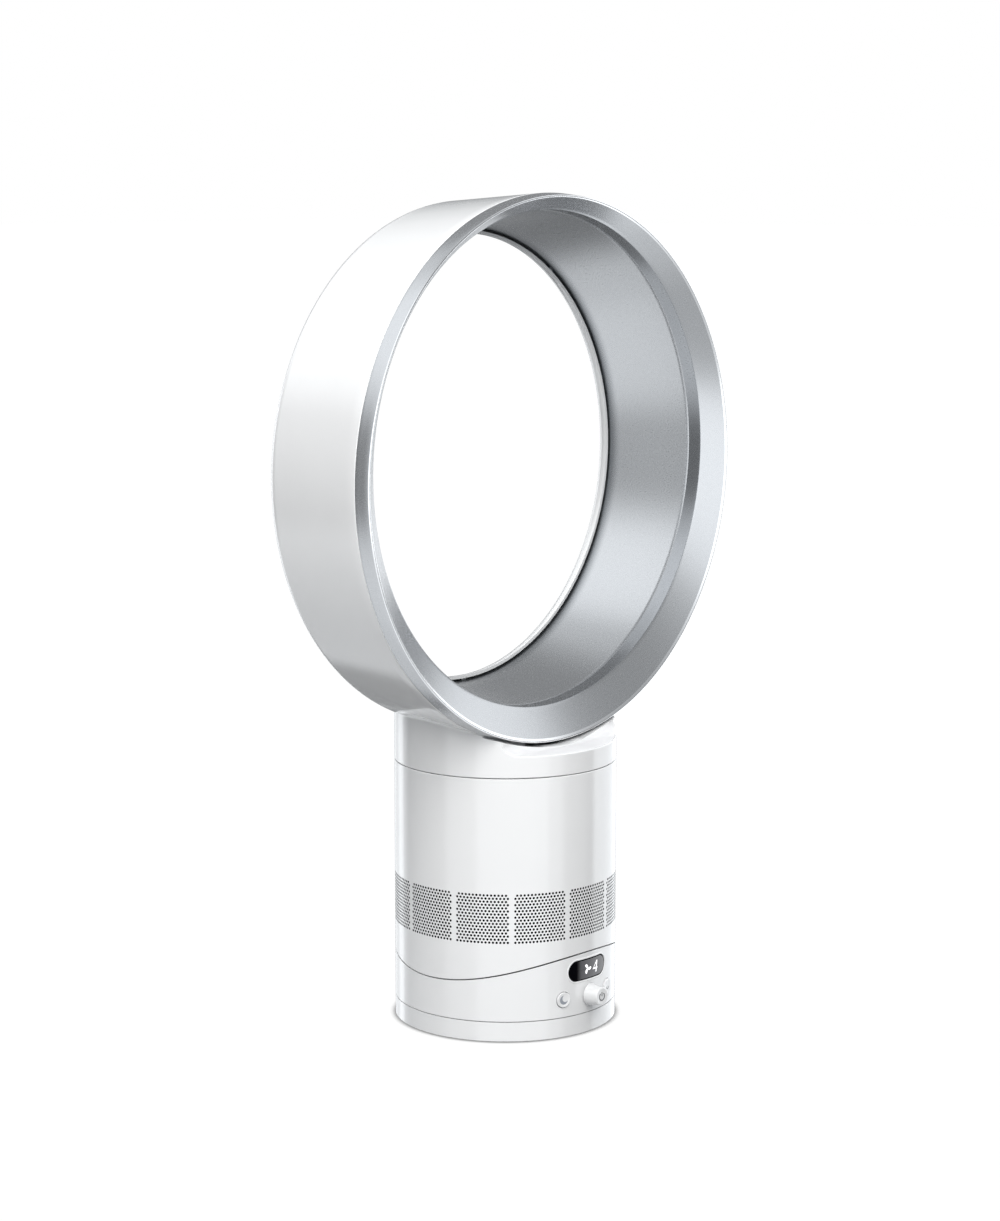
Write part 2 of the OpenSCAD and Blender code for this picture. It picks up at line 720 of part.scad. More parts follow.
module base_shell() {
    color("white") difference() {
        union() {
            difference() {
                translate([0, 0, chassis_z]) cylinder(r = body_r, h = body_r, $fn = large_fn);
                difference() {
                    cylinder(r = inner_r, h = 2 * body_r, $fn = large_fn);
                    tilt_cylinder(deck_under_r);
                }
            }
            around(case_screw_count, boss_mid_r, case_screw_turn)
                translate([0, 0, chassis_top_z]) cylinder(r = boss_r, h = body_r / 2, $fn = small_fn);
        }
        tilt_cylinder(deck_r);
        around(case_screw_count, boss_mid_r, case_screw_turn)
            cylinder(r = screw_r, h = chassis_top_z + screw_len, $fn = small_fn);
        for (side = [-1, 1]) {
            translate([side * rail_x - slot_half_w, -slot_half, chassis_top_z])
                cube([2 * slot_half_w, 2 * slot_half, body_r]);
            translate([side * glide_pad_x, 0, 0])
                tilt_slab(deck_r - over, glide_pad_r, glide_pad_w / 2 + fit, glide_pad_len / 2 + fit);
            rotate([0, 0, side * button_angle]) translate([0, 0, button_z])
                front_plug(inner_r - wall, body_r + over)
                    circle(r = button_r + running_gap, $fn = small_fn);
        }
        translate([-post_bore_r, -slot_half + rail_half, chassis_top_z])
            cube([2 * post_bore_r, 2 * (slot_half - rail_half), body_r]);
        translate([0, 0, window_z]) front_plug(inner_r - wall, body_r + over) stadium(window_w, window_h);
        translate([0, 0, dial_z]) front_plug(inner_r - wall, body_r + over)
            circle(r = dial_stem_r + running_gap, $fn = small_fn);
    }
}

module base_chassis() {
    color("gainsboro") difference() {
        union() {
            translate([0, 0, chassis_z]) cylinder(r = inner_r - fit, h = chassis_t, $fn = large_fn);
            translate([0, 0, chassis_z]) cylinder(r = hub_r, h = chassis_t + hub_h, $fn = large_fn);
            for (x = [-1, 1]) for (y = power_y)
                translate([x * (power_half_x - standoff_inset), y, chassis_z])
                    cylinder(r = standoff_r, h = chassis_t + standoff_h, $fn = small_fn);
        }
        cylinder(r = post_r + bearing_gap, h = hub_top_z + over, $fn = large_fn);
        around(case_screw_count, boss_mid_r, case_screw_turn) {
            cylinder(r = screw_r, h = body_r, $fn = small_fn);
            cylinder(r = screw_head_r + fit, h = chassis_z + screw_head_h, $fn = small_fn);
        }
        translate([0, gear_distance, 0]) cylinder(r = swing_pilot_r + fit, h = body_r, $fn = small_fn);
        for (side = [-1, 1]) translate([side * ear_x, gear_distance, chassis_z + over])
            cylinder(r = screw_r, h = body_r, $fn = small_fn);
    }
}

module chassis_screws() {
    color("silver") around(case_screw_count, boss_mid_r, case_screw_turn)
        translate([0, 0, chassis_z + screw_head_h]) screw(screw_r, screw_head_r, screw_head_h, screw_len);
}

module display_window() {
    color("black") intersection() {
        tube(body_r - fit, inner_r, body_r);
        translate([0, 0, window_z]) front_plug(inner_r - wall, body_r + over)
            stadium(window_w - 2 * fit, window_h - 2 * fit);
    }
}

module display_module() {
    color("darkslategray") {
        translate([-module_w / 2, -module_front_y, window_z - module_h / 2])
            cube([module_w, module_front_y - module_y, module_h]);
        translate([-module_w / 2, -module_y, window_z - module_h / 2])
            cube([module_w, module_y - board_y, module_h * module_foot_share]);
    }
}

module control_board() {
    color("darkgreen") translate([-board_half_w, -board_y, chassis_top_z])
        cube([2 * board_half_w, board_t, board_top_z - chassis_top_z]);
}

module dial_encoder() {
    color("dimgray") difference() {
        translate([-encoder_w / 2, -encoder_front_y, dial_z - encoder_w / 2])
            cube([encoder_w, encoder_front_y - board_y, encoder_w]);
        translate([0, 0, dial_z]) front_plug(board_y + over, encoder_front_y + over)
            circle(r = spindle_r + bearing_gap, $fn = small_fn);
    }
}

module tact_switches() {
    color("black") for (side = [-1, 1])
        translate([side * button_inner_r * sin(button_angle), -board_y - switch_t / 2, button_z])
            cube([switch_w, switch_t, switch_w], center = true);
}

// A circuit board with round parts on it, from its lowest corner
module board(half_x, y0, y1, z, shares) {
    color("darkgreen") translate([-half_x, y0, z]) cube([2 * half_x, y1 - y0, board_t]);
    color("dimgray") for (share = shares)
        translate([share[0] * half_x, (y0 + y1) / 2 + share[1] * (y1 - y0) / 2, z + board_t])
            cylinder(r = share[2] * standoff_r, h = share[3] * standoff_h, $fn = small_fn);
}

module power_board() {
    board(power_half_x, -power_far_y, -power_near_y, chassis_top_z + standoff_h, power_part_shares);
}

module swing_motor() {
    color("silver") difference() {
        translate([0, gear_distance, chassis_top_z]) {
            cylinder(r = swing_motor_r, h = swing_motor_h, $fn = large_fn);
            translate([-ear_x, -ear_r, 0]) cube([2 * ear_x, 2 * ear_r, ear_t]);
            for (side = [-1, 1]) translate([side * ear_x, 0, 0])
                cylinder(r = ear_r, h = ear_t, $fn = small_fn);
        }
        translate([0, gear_distance, 0])
            cylinder(r = pinion_shaft_r + bearing_gap, h = shaft_top_z + fit, $fn = small_fn);
        for (side = [-1, 1]) translate([side * ear_x, gear_distance, 0])
            cylinder(r = screw_r, h = body_r, $fn = small_fn);
    }
}

module motor_screws() {
    color("silver") for (side = [-1, 1])
        translate([side * ear_x, gear_distance, chassis_top_z + ear_t]) mirror([0, 0, 1])
            screw(screw_r, screw_head_r, screw_head_h, ear_t + chassis_t - over - fit);
}

module tilt_glides() {
    color("ivory") for (side = [-1, 1]) translate([side * glide_pad_x, 0, 0])
        tilt_slab(shoe_r + bearing_gap, glide_pad_r, glide_pad_w / 2, glide_pad_len / 2);
}

module swing_pinion() {
    color("gold") translate([0, gear_distance, 0]) {
        translate([0, 0, pinion_z]) rotate([0, 0, 180 / pinion_teeth - 90])
            linear_extrude(gear_t) polygon(gear_points(pinion_teeth));
        translate([0, 0, pinion_z])
            cylinder(r = pinion_shaft_r, h = shaft_top_z - pinion_z, $fn = small_fn);
    }
}

module dial_spindle() {
    color("silver") translate([0, 0, dial_z])
        front_plug(board_y + over + dial_travel + running_gap, spindle_end_y)
            circle(r = spindle_r, $fn = small_fn);
}

module dial_knob() {
    color("white") translate([0, 0, dial_z]) rotate([90, 0, 0]) difference() {
        union() {
            translate([0, 0, dial_base_y])
                cylinder(r1 = dial_base_r, r2 = dial_face_r, h = dial_len, $fn = large_fn);
            translate([0, 0, stem_inner_y])
                cylinder(r = dial_stem_r, h = dial_base_y - stem_inner_y + over, $fn = small_fn);
        }
        translate([0, 0, stem_inner_y - over]) cylinder(r = spindle_r + bearing_gap,
            h = spindle_end_y + fit - stem_inner_y + over, $fn = small_fn);
    }
}

// A push button with its stem, along the wall's outward direction at its place
module push_button(side) {
    rotate([0, 0, side * button_angle]) translate([0, 0, button_z]) rotate([90, 0, 0]) {
        translate([0, 0, button_inner_r])
            cylinder(r = button_stem_r, h = inner_r - button_inner_r - thin, $fn = small_fn);
        translate([0, 0, button_flange_y]) cylinder(r = button_flange_r, h = thin, $fn = small_fn);
        translate([0, 0, button_flange_y])
            cylinder(r = button_r, h = body_r + button_proud - button_flange_y, $fn = small_fn);
    }
}

module sleep_button() {
    color("white") push_button(-1);
}

module swing_button() {
    color("white") push_button(1);
}

// Body: tilts on the control base and holds the blower

module body_casing() {
    color("white") difference() {
        union() {
            intersection() {
                tube(body_r, inner_r, casing_top_z);
                tilt_cylinder(shoe_r);
            }
            translate([0, 0, inlet_z - ledge_t]) tube(inner_r + over, inner_r - ledge_in, ledge_t);
            translate([0, 0, bayonet_z - ledge_t]) tube(inner_r + over, inner_r - ledge_in, ledge_t);
            around(case_screw_count, boss_mid_r, case_screw_turn)
                translate([0, 0, body_boss_z])
                    cylinder(r = boss_r, h = foam_z - body_boss_z, $fn = small_fn);
        }
        for (i = [0:panel_count - 1]) rotate([0, 0, -90 - panel_angle / 2 + i * panel_pitch])
            translate([0, 0, panel_z0]) rotate_extrude(angle = panel_angle, $fn = large_fn)
                translate([inner_r - over, 0]) square([wall + 2 * over, panel_z1 - panel_z0]);
        around(case_screw_count, boss_mid_r, case_screw_turn)
            cylinder(r = screw_r, h = body_boss_z + screw_len, $fn = small_fn);
    }
}

// Angle of a hole from its panel's middle, where every second row is shifted
function hole_column_angle(row, column) = hole_pitch_angle
    * (column - (hole_columns - 1) / 2 + (row % 2 - row_shift_share) * row_shift_share);

module inlet_grille() {
    color("whitesmoke") difference() {
        union() {
            translate([0, 0, panel_z0 - band_lap])
                tube(inner_r - fit, inner_r - fit - band_t, panel_z1 - panel_z0 + 2 * band_lap);
            for (i = [0:panel_count - 1])
                rotate([0, 0, -90 - panel_angle / 2 + panel_gap_angle + i * panel_pitch])
                    translate([0, 0, panel_z0 + fit])
                        rotate_extrude(angle = panel_angle - 2 * panel_gap_angle, $fn = large_fn)
                            translate([inner_r - 2 * fit, 0])
                                square([wall + fit, panel_z1 - panel_z0 - 2 * fit]);
        }
        for (i = [0:panel_count - 1]) for (row = [0:hole_rows - 1]) for (column = [0:hole_columns - 1])
            rotate([0, 0, i * panel_pitch + hole_column_angle(row, column)])
                translate([0, 0, panel_mid_z + (row - (hole_rows - 1) / 2) * hole_pitch_z])
                    front_plug(inner_r - 2 * wall, body_r + over) circle(r = hole_r, $fn = hole_fn);
    }
}

module tilt_shoe() {
    color("gainsboro") difference() {
        union() {
            intersection() {
                difference() {
                    cylinder(r = inner_r - fit, h = tilt_axis_z / 2, $fn = large_fn);
                    tilt_cylinder(shoe_top_r);
                }
                tilt_cylinder(shoe_r);
            }
            for (side = [-1, 1]) translate([side * rail_x, 0, 0])
                tilt_slab(shoe_r - shoe_t / 2, rail_bottom_r, rail_web / 2, rail_half);
            for (x = [-1, 1]) for (y = [-1, 1])
                translate([x * (driver_half_x - standoff_inset), y * (driver_half_y - standoff_inset),
                    tilt_height(shoe_r, 0) + shoe_t / 2])
                    cylinder(r = standoff_r, h = driver_board_z - tilt_height(shoe_r, 0) - shoe_t / 2,
                        $fn = small_fn);
        }
        cylinder(r = post_bore_r, h = tilt_axis_z / 2, $fn = small_fn);
        around(case_screw_count, boss_mid_r, case_screw_turn) {
            cylinder(r = screw_r, h = body_boss_z + over, $fn = small_fn);
            cylinder(r = screw_head_r + fit, h = shoe_head_z + screw_head_h, $fn = small_fn);
        }
        for (side = [-1, 1]) for (y = [-1, 1]) translate([side * rail_x, y * rail_screw_y, 0])
            cylinder(r = screw_r, h = tilt_height(shoe_top_r, 0), $fn = small_fn);
    }
}

module shoe_screws() {
    color("silver") around(case_screw_count, boss_mid_r, case_screw_turn)
        translate([0, 0, shoe_head_z + screw_head_h]) screw(screw_r, screw_head_r, screw_head_h, screw_len);
}

module rail_keepers() {
    color("dimgray") difference() {
        for (side = [-1, 1]) translate([side * rail_x, 0, 0])
            tilt_slab(rail_bottom_r, keeper_r, keeper_w / 2, rail_half);
        for (side = [-1, 1]) for (y = [-1, 1]) translate([side * rail_x, y * rail_screw_y, 0])
            cylinder(r = screw_r, h = tilt_height(shoe_top_r, 0), $fn = small_fn);
    }
}

module keeper_screws() {
    color("silver") for (side = [-1, 1]) for (y = [-1, 1])
        translate([side * rail_x, y * rail_screw_y, tilt_height(keeper_r, 0)])
            screw(screw_r, screw_head_r, screw_head_h, screw_len);
}

module driver_board() {
    board(driver_half_x, -driver_half_y, driver_half_y, driver_board_z, driver_part_shares);
}

module inlet_foam() {
    color("dimgray") translate([0, 0, foam_z]) tube(foam_out_r, foam_in_r, foam_t);
}

module housing_seal() {
    color("black") translate([0, 0, inlet_z])
        tube(inner_r - running_gap, inner_r - ledge_in - wall, seal_t);
}

// Inside of the impeller housing at a height, along its cone
function housing_inner_r(z) =
    inlet_r + (duct_r - inlet_r) * min(1, max(0, (z - cone_z0) / (cone_z1 - cone_z0)));

module impeller_housing() {
    color("lightgray") rotate_extrude($fn = large_fn) polygon([
        [inlet_r, flange_z], [inner_r - running_gap, flange_z],
        [inner_r - running_gap, flange_z + flange_t],
        [inlet_r + 2 * housing_wall, flange_z + flange_t],
        [housing_r, cone_z1], [housing_r, housing_top_z],
        [duct_r, housing_top_z], [duct_r, cone_z1], [inlet_r, cone_z0]
    ]);
}

module housing_foam() {
    color("dimgray") translate([0, 0, flange_z + flange_t])
        tube(inner_r - running_gap, housing_r + running_gap, housing_cone_h);
}

module bucket_lower() {
    color("gray") difference() {
        translate([0, 0, bucket_z]) cylinder(r = bucket_r, h = bucket_split_z - bucket_z, $fn = large_fn);
        difference() {
            translate([0, 0, bucket_z + bucket_wall])
                cylinder(r = bucket_r - bucket_wall, h = bucket_split_z, $fn = large_fn);
            cylinder(r = bearing_seat_r, h = bucket_z + ball_bearing_w, $fn = large_fn);
        }
        translate([0, 0, bucket_z - over])
            cylinder(r = ball_bearing_r, h = ball_bearing_w + 2 * over, $fn = large_fn);
    }
}

module bucket_upper() {
    color("gray") difference() {
        rotate_extrude($fn = large_fn) polygon([
            [0, bucket_split_z], [bucket_r, bucket_split_z], [bucket_r, bucket_top_z - ball_bearing_w],
            [dome_r, bucket_top_z], [0, bucket_top_z]
        ]);
        difference() {
            rotate_extrude($fn = large_fn) polygon([
                [0, bucket_split_z - over], [bucket_r - bucket_wall, bucket_split_z - over],
                [bucket_r - bucket_wall, bucket_top_z - ball_bearing_w - bucket_wall],
                [dome_r - bucket_wall, bucket_top_z - bucket_wall], [0, bucket_top_z - bucket_wall]
            ]);
            translate([0, 0, upper_bearing_z - seat_wall])
                cylinder(r = bearing_seat_r, h = ball_bearing_w + 2 * seat_wall, $fn = large_fn);
        }
        translate([0, 0, upper_bearing_z - seat_wall - over])
            cylinder(r = ball_bearing_r, h = ball_bearing_w + seat_wall + over, $fn = large_fn);
    }
}

module diffuser() {
    hub_out = bucket_r + fit + diffuser_ring;
    rim_in = duct_r - fit - diffuser_ring;
    vane_len = rim_in - hub_out + diffuser_ring;
    color("lightgray") translate([0, 0, diffuser_z]) {
        tube(hub_out, bucket_r + fit, diffuser_h);
        tube(duct_r - fit, rim_in, diffuser_h);
        around(vane_count, hub_out - diffuser_ring / 2)
            translate([0, -blade_t / 2, fit]) cube([vane_len, blade_t, diffuser_h - 2 * fit]);
    }
}

module motor_stator() {
    color("darkorange") translate([0, 0, stator_z]) difference() {
        union() {
            tube(stator_r, stator_bore_r, stator_h);
            tube(bucket_r - bucket_wall - fit, stator_r - over, bucket_wall);
        }
        translate([0, 0, -over]) cylinder(r = stator_bore_r, h = stator_h + 2 * over, $fn = large_fn);
    }
}

module ball_bearings() {
    color("silver") {
        translate([0, 0, bucket_z]) tube(ball_bearing_r, shaft_r + bearing_gap, ball_bearing_w);
        translate([0, 0, upper_bearing_z]) tube(ball_bearing_r, shaft_r + bearing_gap, ball_bearing_w);
    }
}

module bayonet_ring() {
    wall_r = lug_out_r + running_gap;
    color("gainsboro") difference() {
        translate([0, 0, bayonet_z]) tube(inner_r - fit, housing_r + fit,
            bayonet_lip_z + bayonet_lip_t - bayonet_z);
        translate([0, 0, bayonet_floor_z])
            cylinder(r = wall_r, h = bayonet_lip_z - bayonet_floor_z, $fn = large_fn);
        translate([0, 0, bayonet_floor_z])
            cylinder(r = skirt_out_r + running_gap, h = body_r, $fn = large_fn);
        for (i = [0:lug_count - 1])
            rotate([0, 0, i * 360 / lug_count + lock_angle - lock_gap_angle / 2])
                translate([0, 0, bayonet_lip_z - over])
                    rotate_extrude(angle = lock_gap_angle, $fn = large_fn)
                        translate([skirt_out_r, 0])
                            square([wall_r - skirt_out_r, bayonet_lip_t + 2 * over]);
    }
}

module neck_seal() {
    color("black") translate([0, 0, bayonet_floor_z])
        tube(skirt_out_r, skirt_out_r - skirt_wall, neck_seal_t);
}

// Blower rotor: impeller, shaft and magnet turn together

module impeller() {
    blade_z0 = impeller_z0 + over;
    top_r = housing_inner_r(impeller_z1) - blade_gap;
    low_r = housing_inner_r(blade_z0) - blade_gap;
    color("dimgray") difference() {
        union() {
            rotate_extrude($fn = large_fn) polygon([
                [0, impeller_z0], [impeller_nose_r, impeller_z0],
                [impeller_nose_r + blade_gap, impeller_z0 + nut_t], [impeller_hub_r, impeller_z1],
                [0, impeller_z1]
            ]);
            for (i = [0:blade_count - 1]) rotate([0, 0, i * 360 / blade_count]) intersection() {
                rotate_extrude($fn = large_fn) polygon([
                    [0, blade_z0], [low_r, blade_z0], [top_r, impeller_z1], [0, impeller_z1]
                ]);
                translate([impeller_nose_r + duct_r / 2, 0, (impeller_z0 + impeller_z1) / 2])
                    rotate([-blade_lean, 0, 0])
                        cube([duct_r, blade_t, 2 * housing_cone_h], center = true);
            }
        }
        translate([0, 0, impeller_z0 - over])
            cylinder(r = shaft_r, h = impeller_z1 - impeller_z0 + 2 * over, $fn = small_fn);
    }
}

module rotor_shaft() {
    color("silver") translate([0, 0, shaft_z0])
        cylinder(r = shaft_r, h = shaft_z1 - shaft_z0, $fn = small_fn);
}

module rotor_magnet() {
    color("darkgray") translate([0, 0, magnet_z0]) tube(magnet_r, shaft_r, magnet_z1 - magnet_z0);
}

module impeller_nut() {
    color("silver") translate([0, 0, impeller_z0 - nut_t]) difference() {
        cylinder(r = nut_r, h = nut_t, $fn = 6);
        translate([0, 0, -over]) cylinder(r = shaft_r, h = nut_t + 2 * over, $fn = small_fn);
    }
}

// Air ring: twists onto the body, guides the air to the slot behind the silver surface

// Everything above the shelf in front of the ring, grown by a wall
module shelf_cut(grow) {
    fillet_y = -ring_front + trim_gap;
    translate([-body_r - over, 0, 0]) rotate([90, 0, 90]) linear_extrude(2 * (body_r + over))
        polygon(concat(
            [[-body_r - over, shelf_z - grow]],
            arc(fillet_y - shelf_fillet, shelf_z + shelf_fillet, shelf_fillet + grow, -90, 0),
            [[fillet_y + grow, collar_top_z + over], [-body_r - over, collar_top_z + over]]
        ));
}

// The ring's outer shape, grown by a wall, that the neck is cut to
module ring_cut(grow) {
    y_turn(concat(
        [[0, -trim_joint], [ring_r + grow, -trim_joint]],
        arc(corner_mid_r, corner_y, corner_r + grow, 0, 90),
        [[0, ring_rear + grow]]
    ), ring_z);
    y_disc(ring_r + trim_gap + grow, -body_r - over, -trim_joint, ring_z);
}

module neck_collar() {
    color("white") difference() {
        union() {
            translate([0, 0, collar_z]) cylinder(r = body_r, h = collar_top_z - collar_z, $fn = large_fn);
            translate([0, 0, skirt_z])
                cylinder(r = skirt_out_r, h = collar_z - skirt_z + over, $fn = large_fn);
            around(lug_count, 0, -lug_angle / 2)
                translate([0, 0, lug_z]) rotate_extrude(angle = lug_angle, $fn = large_fn)
                    translate([skirt_out_r - over, 0]) square([lug_out_r - skirt_out_r + over, lug_t]);
        }
        ring_cut(0);
        shelf_cut(0);
        difference() {
            translate([0, 0, collar_z + wall])
                cylinder(r = inner_r, h = collar_top_z - collar_z - 2 * wall, $fn = large_fn);
            ring_cut(wall);
            shelf_cut(wall);
        }
        translate([0, 0, skirt_z - over]) cylinder(r = skirt_out_r - skirt_wall,
            h = collar_z - skirt_z + over + 2 * wall, $fn = large_fn);
        translate([-throat_x, -throat_y, collar_z]) cube([2 * throat_x, 2 * throat_y, collar_top_z]);
    }
}

module rear_casing() {
    color("white") difference() {
        union() {
            y_turn(concat(
                [[ring_r, -trim_joint]],
                arc(corner_mid_r, corner_y, corner_r, 0, 90),
                [[corner_mid_r, ring_rear - ring_wall]],
                arc(corner_mid_r, corner_y, corner_r - ring_wall, 90, 0),
                [[ring_r - ring_wall, -trim_joint]]
            ), ring_z);
            difference() {
                y_disc(corner_mid_r + fit, ring_rear - ring_wall, ring_rear, ring_z);
                y_disc(lip_mid_r - fit, ring_rear - ring_wall - over, ring_rear + over, lip_z);
            }
            y_turn(concat(
                arc(lip_mid_r, lip_y, lip_r, 90, lip_tip_angle),
                arc(lip_mid_r, lip_y, lip_r - ring_wall, lip_tip_angle, 90)
            ), lip_z);
        }
        translate([-throat_x, -throat_y, collar_z])
            cube([2 * throat_x, 2 * throat_y, throat_top_z - collar_z]);
    }
}

// A blend between two circles at different heights, along Y
module blend(r0, y0, z0, r1, y1, z1) {
    hull() {
        y_disc(r0, y0, y0 + fit / 2, z0, blend_fn);
        y_disc(r1, y1 - fit / 2, y1, z1, blend_fn);
    }
}

module coanda_ring() {
    color("silver") {
        difference() {
            blend(band_r + trim_wall, -band_edge, nozzle_z, coanda_rear_r + trim_wall, lip_y, lip_z);
            blend(band_r, -band_edge - over / 2, nozzle_z, coanda_rear_r, lip_y + over / 2, lip_z);
        }
        y_turn(concat(
            arc(lip_mid_r, lip_y, nose_r, 180, 90),
            arc(lip_mid_r, lip_y, nose_r - trim_wall, 90, 180)
        ), lip_z);
    }
}

module front_trim() {
    color("lightgray") difference() {
        union() {
            y_turn([
                [0, -band_edge], [band_r + trim_wall, -band_edge], [band_r + trim_wall, flare_cavity_y],
                [band_r + 2 * trim_wall, -flare_edge], [band_r + 2 * trim_wall, -flare_edge - trim_wall],
                [0, -flare_edge - trim_wall]
            ], nozzle_z);
            y_turn([
                [0, -ring_front], [crest_r, -ring_front],
                [ring_r - trim_wall / 2, -ring_front + trim_wall / 2],
                [ring_r, -trim_joint], [0, -trim_joint]
            ], ring_z);
        }
        blend(crest_r - fit, -ring_front - over, ring_z, band_r, -flare_edge, nozzle_z);
        y_disc(band_r, -ring_front, -band_edge + over, nozzle_z);
        difference() {
            y_disc(ring_r - 2 * trim_wall, trim_cavity_y, -trim_joint + over, ring_z);
            blend(crest_r, trim_cavity_y - over, ring_z, band_r + trim_wall, flare_cavity_y, nozzle_z);
            y_disc(band_r + trim_wall, -ring_front, -band_edge + over, nozzle_z);
        }
    }
}

module slot_spacers() {
    color("silver") translate([0, 0, lip_z]) rotate([-90, 0, 0])
        around(spacer_count, lip_in_r + fit, 180 / spacer_count)
            translate([0, -trim_wall, lip_y]) cube([slot_w - 2 * fit, 2 * trim_wall, slot_w]);
}

module flow_divider() {
    color("gainsboro") translate([0, throat_y, ring_z - ring_r - wall]) rotate([90, 0, 0])
        linear_extrude(2 * throat_y)
            polygon([[0, 0], [divider_half_w, divider_h], [-divider_half_w, divider_h]]);
}

module trim_gasket() {
    color("dimgray") difference() {
        y_disc(ring_r - ring_wall - 2 * fit, -trim_joint, -trim_joint + ring_wall, ring_z);
        y_disc(ring_r - 2 * ring_wall, -trim_joint - over, -trim_joint + ring_wall + over, ring_z);
    }
}

foot_plate();
foot_pads();
glide_ring();
swing_gear();
gear_screws();
retaining_plate();
cable_gland();
base_shell();
base_chassis();
chassis_screws();
display_window();
display_module();
control_board();
dial_encoder();
tact_switches();
power_board();
swing_motor();
motor_screws();
tilt_glides();
swing_pinion();
dial_spindle();
dial_knob();
sleep_button();
swing_button();
body_casing();
inlet_grille();
tilt_shoe();
shoe_screws();
rail_keepers();
keeper_screws();
driver_board();
inlet_foam();
housing_seal();
impeller_housing();
housing_foam();
bucket_lower();
bucket_upper();
diffuser();
motor_stator();
ball_bearings();
bayonet_ring();
neck_seal();
impeller();
rotor_shaft();
rotor_magnet();
impeller_nut();
neck_collar();
rear_casing();
coanda_ring();
front_trim();
slot_spacers();
flow_divider();
trim_gasket();
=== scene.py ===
import json
import math
import bmesh
import bpy
import numpy as np
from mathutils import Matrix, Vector

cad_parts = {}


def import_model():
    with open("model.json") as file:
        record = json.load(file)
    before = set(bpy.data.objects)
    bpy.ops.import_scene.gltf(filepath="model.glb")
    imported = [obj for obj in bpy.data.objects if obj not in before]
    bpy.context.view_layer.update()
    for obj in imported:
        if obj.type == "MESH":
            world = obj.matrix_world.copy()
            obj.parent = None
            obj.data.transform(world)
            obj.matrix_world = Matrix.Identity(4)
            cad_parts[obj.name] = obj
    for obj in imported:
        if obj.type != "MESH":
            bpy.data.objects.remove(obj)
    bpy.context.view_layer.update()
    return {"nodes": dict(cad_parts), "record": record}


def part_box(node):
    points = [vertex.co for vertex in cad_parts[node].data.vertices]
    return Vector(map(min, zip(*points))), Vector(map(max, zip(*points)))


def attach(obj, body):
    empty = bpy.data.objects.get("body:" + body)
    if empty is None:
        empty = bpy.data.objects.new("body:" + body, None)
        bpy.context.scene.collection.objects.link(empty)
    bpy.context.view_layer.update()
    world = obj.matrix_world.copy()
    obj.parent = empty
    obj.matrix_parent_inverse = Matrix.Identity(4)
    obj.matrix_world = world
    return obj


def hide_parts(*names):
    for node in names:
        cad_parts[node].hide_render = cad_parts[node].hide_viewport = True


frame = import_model()
NODES = frame["nodes"]
JOINTS = {joint["name"]: joint for joint in frame["record"]["behaviour"]["joints"]}
MM = 0.001
X, Y, Z = 0, 1, 2


def low(name, axis):
    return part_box(name)[0][axis] / MM


def high(name, axis):
    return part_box(name)[1][axis] / MM


def middle(name, axis):
    return (low(name, axis) + high(name, axis)) / 2


def half(name, axis):
    return (high(name, axis) - low(name, axis)) / 2


def add_object(name, data):
    """Puts a new object in the scene."""
    added = bpy.data.objects.new(name, data)
    bpy.context.scene.collection.objects.link(added)
    return added


# Sizes are in millimetres. These are the same clearances and walls as in the CAD
WALL = 2.5
SEAM = 0.6
FIT = 0.1
TRIM_WALL = 2.0
RING_WALL = 2.2
TRIM_GAP = 1.0

# Cylinder: foot, control base, tilting body and neck
BODY_R = high("body_casing", X)
INNER_R = BODY_R - WALL
CASING_TOP = high("body_casing", Z)
COLLAR_Z = CASING_TOP + SEAM
TILT_Z = JOINTS["tilt"]["pos_m"][Z] / MM
SHOE_R = TILT_Z - low("body_casing", Z)
EDGE_R = 0.45
TURN_STEPS = 192

# Inlet panels and their fine holes
PANEL_LAP = 3.0
PANEL_Z0 = low("inlet_grille", Z) + PANEL_LAP
PANEL_Z1 = high("inlet_grille", Z) - PANEL_LAP
PANELS = 12
PANEL_PITCH = 360 / PANELS
BAR_ANGLE = 1.94
HOLE_ROWS = 16
HOLE_COLUMNS = 30
HOLE_R = 0.8
HOLE_DEPTH = 1.1
HOLE_SIDES = 12

# Neck: shelf in front of the ring, fillet behind it, and the skirt in the twist lock
COLLAR_TOP = 208.0
SHELF_RISE = 14.15
SHELF_Z = COLLAR_Z + SHELF_RISE
SHELF_FILLET = 9.0
SHELF_EDGE_R = 1.0
NECK_BLEND_R = 2.6
SKIRT_INSET = 5.0
SKIRT_R = INNER_R - SKIRT_INSET
SKIRT_WALL = 2.2
SKIRT_Z = low("neck_collar", Z)
LUG_COUNT = 3
LUG_ANGLE = 18.0
LUG_T = 3.4
LUG_OUT = 2.5

# Air ring: casing, trim, and the silver surface behind the slot
RING_Z = middle("rear_casing", Z)
RING_R = half("rear_casing", Z)
RING_TAPER = 5.0
REAR_R = RING_R - RING_TAPER
CORNER_R = 11.5
TRIM_JOINT = low("rear_casing", Y)
RING_REAR = high("rear_casing", Y)
RING_FRONT = low("front_trim", Y)
CORNER_Y = RING_REAR - CORNER_R
CREST_IN = 2.0
CREST_R = RING_R - CREST_IN
NOZZLE_Z = middle("coanda_ring", Z)
BAND_R = half("coanda_ring", Z) - TRIM_WALL
BAND_Y = low("coanda_ring", Y)
FLARE_LEN = 9.9
FLARE_Y = BAND_Y - FLARE_LEN
LIP_Y = low("slot_spacers", Y)
LIP_Z = middle("slot_spacers", Z)
LIP_R = RING_REAR - LIP_Y
LIP_IN = 20.6
LIP_MID_R = RING_R - LIP_IN
NOSE_R = high("coanda_ring", Y) - LIP_Y
# Width of the painted shade on the silver surface before the slot
SHADE_WIDTH = 10.0
RING_STEPS = 384
CUT_STEPS = 720

